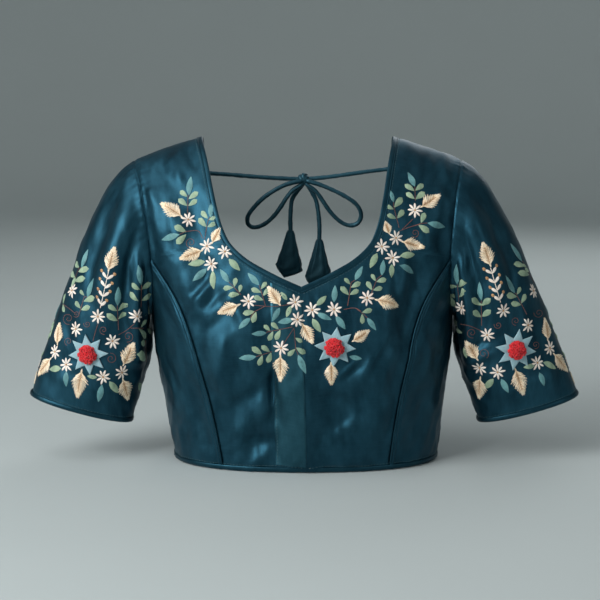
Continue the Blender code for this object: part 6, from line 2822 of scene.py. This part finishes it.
LEFT_SLEEVE = [
    Daisy(503.2, 310.6),
    Feather((490.9, 266.8), (482.6, 242.2)),
    Stalk(
        (500.5, 302.5), (490.5, 267.5),
        (
            (484.2, 269.2), (496.5, 265.7), (487.2, 278.3), (499.3, 275.1), (490.3, 287.5), (501.2, 282.7),
            (493, 295.5), (503.2, 292)
        )
    ),
    Sprig(
        ((534, 283), (523, 262)), ((518.7, 265), (526, 267), (522.7, 273.7), (529, 271)),
        ((521.9, 261.2), (510.5, 243.3))
    ),
    Sprig(
        ((526.7, 314.5), (516, 294)), ((518.4, 291.5), (511.6, 295.8), (523.5, 298.6), (516, 304)),
        ((514.8, 293), (505.7, 275.6))
    ),
    Sprig(
        ((481.7, 325.7), (481.4, 301)), ((476, 301.5), (486.5, 301.5), (477, 314), (486.6, 313)),
        ((481.4, 300.2), (479.3, 282))
    ),
    Sprig(
        ((459, 302), (457.5, 285)), ((452.4, 283.5), (462.3, 283.5), (452.7, 293.5), (463.5, 293)),
        ((457.2, 284.3), (456.4, 264.4))
    ),
    Daisy(533.4, 291),
    Daisy(461.5, 307.7),
    Daisy(528, 325.2),
    Daisy(487.2, 335),
    Daisy(549.8, 348),
    Daisy(537.4, 362.8),
    Daisy(479.5, 367.8),
    Daisy(497.6, 372.1),
    Curl(498, 325, 4.0, 1.0, -1),
    Curl(515.6, 321, 4.4, 0.4),
    Curl(471.8, 332.8, 5.2, 0.6),
    Curl(535.5, 344.8, 4.0, 2.6, -1),
    Curl(483.7, 353.5, 5.4, 3.4, -1),
    Curl(538.6, 313, 5.0, 1.2, -1),
    Feather((547.6, 341), (544.2, 317.7)),
    Feather((553, 353), (567.8, 371.5)),
    Feather((514.8, 368), (523.5, 394.9)),
    Feather((478.2, 360.7), (466.2, 341.3)),
    Feather((480.6, 376.6), (479, 398.9)),
    Leaf(GREEN, (534.7, 365.5), (523.5, 367.4)),
    Leaf(GREEN, (543.4, 362.3), (556, 368.6)),
    Leaf(TEAL, (539.4, 372.6), (544.2, 385.8)),
    Leaf(GREEN, (493.3, 379), (485, 388.5)),
    Leaf(TEAL, (501.2, 379), (508.4, 392.5)),
    Leaf(GREEN, (455, 307), (450.3, 296)),
    Leaf(GREEN, (459, 326), (453.5, 317)),
    Leaf(GREEN, (462, 333), (457, 326)),
    Leaf(GREEN, (466.5, 358), (463.9, 347)),
    Stem(((460.7, 324), (470, 326), (481.7, 331))),
]
# how far back and how far down on the outer side of a sleeve, in millimetres, with down below 0
OUTER_SLEEVE = [
    Stem(((8, -100), (14, -112), (16, -128))),
    Sprig(
        ((16, -128), (15, -154)), ((9, -150), (21, -150), (8.5, -137), (22, -137)), ((15, -155), (13, -174))
    ),
    Sprig(((27, -126), (31, -144)), ((36, -143),), ((31, -145), (31, -162))),
    Daisy(14, -108),
    Daisy(22, -91),
    Feather((19, -112), (31, -124)),
    Feather((13, -97), (9, -82)),
    Leaf(GREEN, (10, -111), (5, -121)),
    Leaf(GREEN, (25, -85), (27, -76)),
    Leaf(BLUE, (17, -87), (16, -76)),
    Curl(28, -103, 4.2, 0.5),
]


@dataclass
class Embroidery:
    """All the hand embroidery, by area."""

    skin: Skin

    def build(self) -> None:
        """Sews every area."""
        groups = {
            "neck_right": (Area.FRONT, RIGHT_NECK),
            "centre": (Area.FRONT, CENTRE_FRONT),
            "neck_left": (Area.FRONT, LEFT_NECK),
            "sleeve_right": (Area.SLEEVE_RIGHT, RIGHT_SLEEVE),
            "sleeve_left": (Area.SLEEVE_LEFT, LEFT_SLEEVE),
        }
        for name, (area, motifs) in groups.items():
            threads = Threads(self.skin, f"embroidery_{name}", area)
            for motif in motifs:
                motif.sew(threads, lambda at, area=area: self.skin.pixel(area, *at))
            log.info("embroidery %s: %d stitches", name, threads.build())
        for hand in Hand:
            area = Area[f"SLEEVE_{hand.name}"]
            threads = Threads(self.skin, f"embroidery_outer_{hand.word}", area)
            for motif in OUTER_SLEEVE:
                motif.sew(threads, lambda at, area=area, side=hand.value: self.outer(area, side, *at))
            log.info("embroidery outer %s: %d stitches", hand.word, threads.build())

    def outer(self, area: Area, side: int, back: float, down: float) -> Array:
        """The place on the outer side of a sleeve, by how far back it lies and how far down.

        Args:
            area: the panels that it lies on.
            side: the sign of x on its side.
            back: how far back, in millimetres.
            down: how far down, below 0.

        Returns:
            The place, in metres.
        """
        start, way = Vector((side * 0.6, back * MM, -down * MM)), Vector((-side, 0, 0))
        place = self.skin.trees[area].ray_cast(start, way)[0]
        return np.array(place or self.skin.trees[area].find_nearest(start + way * 0.35)[0])


def main() -> None:
    """Builds the whole blouse and its studio."""
    camera = Camera()
    camera.build()
    Studio().build()
    cloth = Cloth()
    cloth.build()
    trims = Trims(cloth)
    skin = Skin(cloth, camera, trims.placket())
    trims.build()
    BackTie(skin).build()
    for star in STARS:
        FeltStar(skin, *star).build()
    log.info("stars: three")
    Stitching(skin, trims).build()
    Embroidery(skin).build()


if __name__ == "__main__":
    logging.basicConfig(level=logging.INFO, format="%(message)s")
    main()
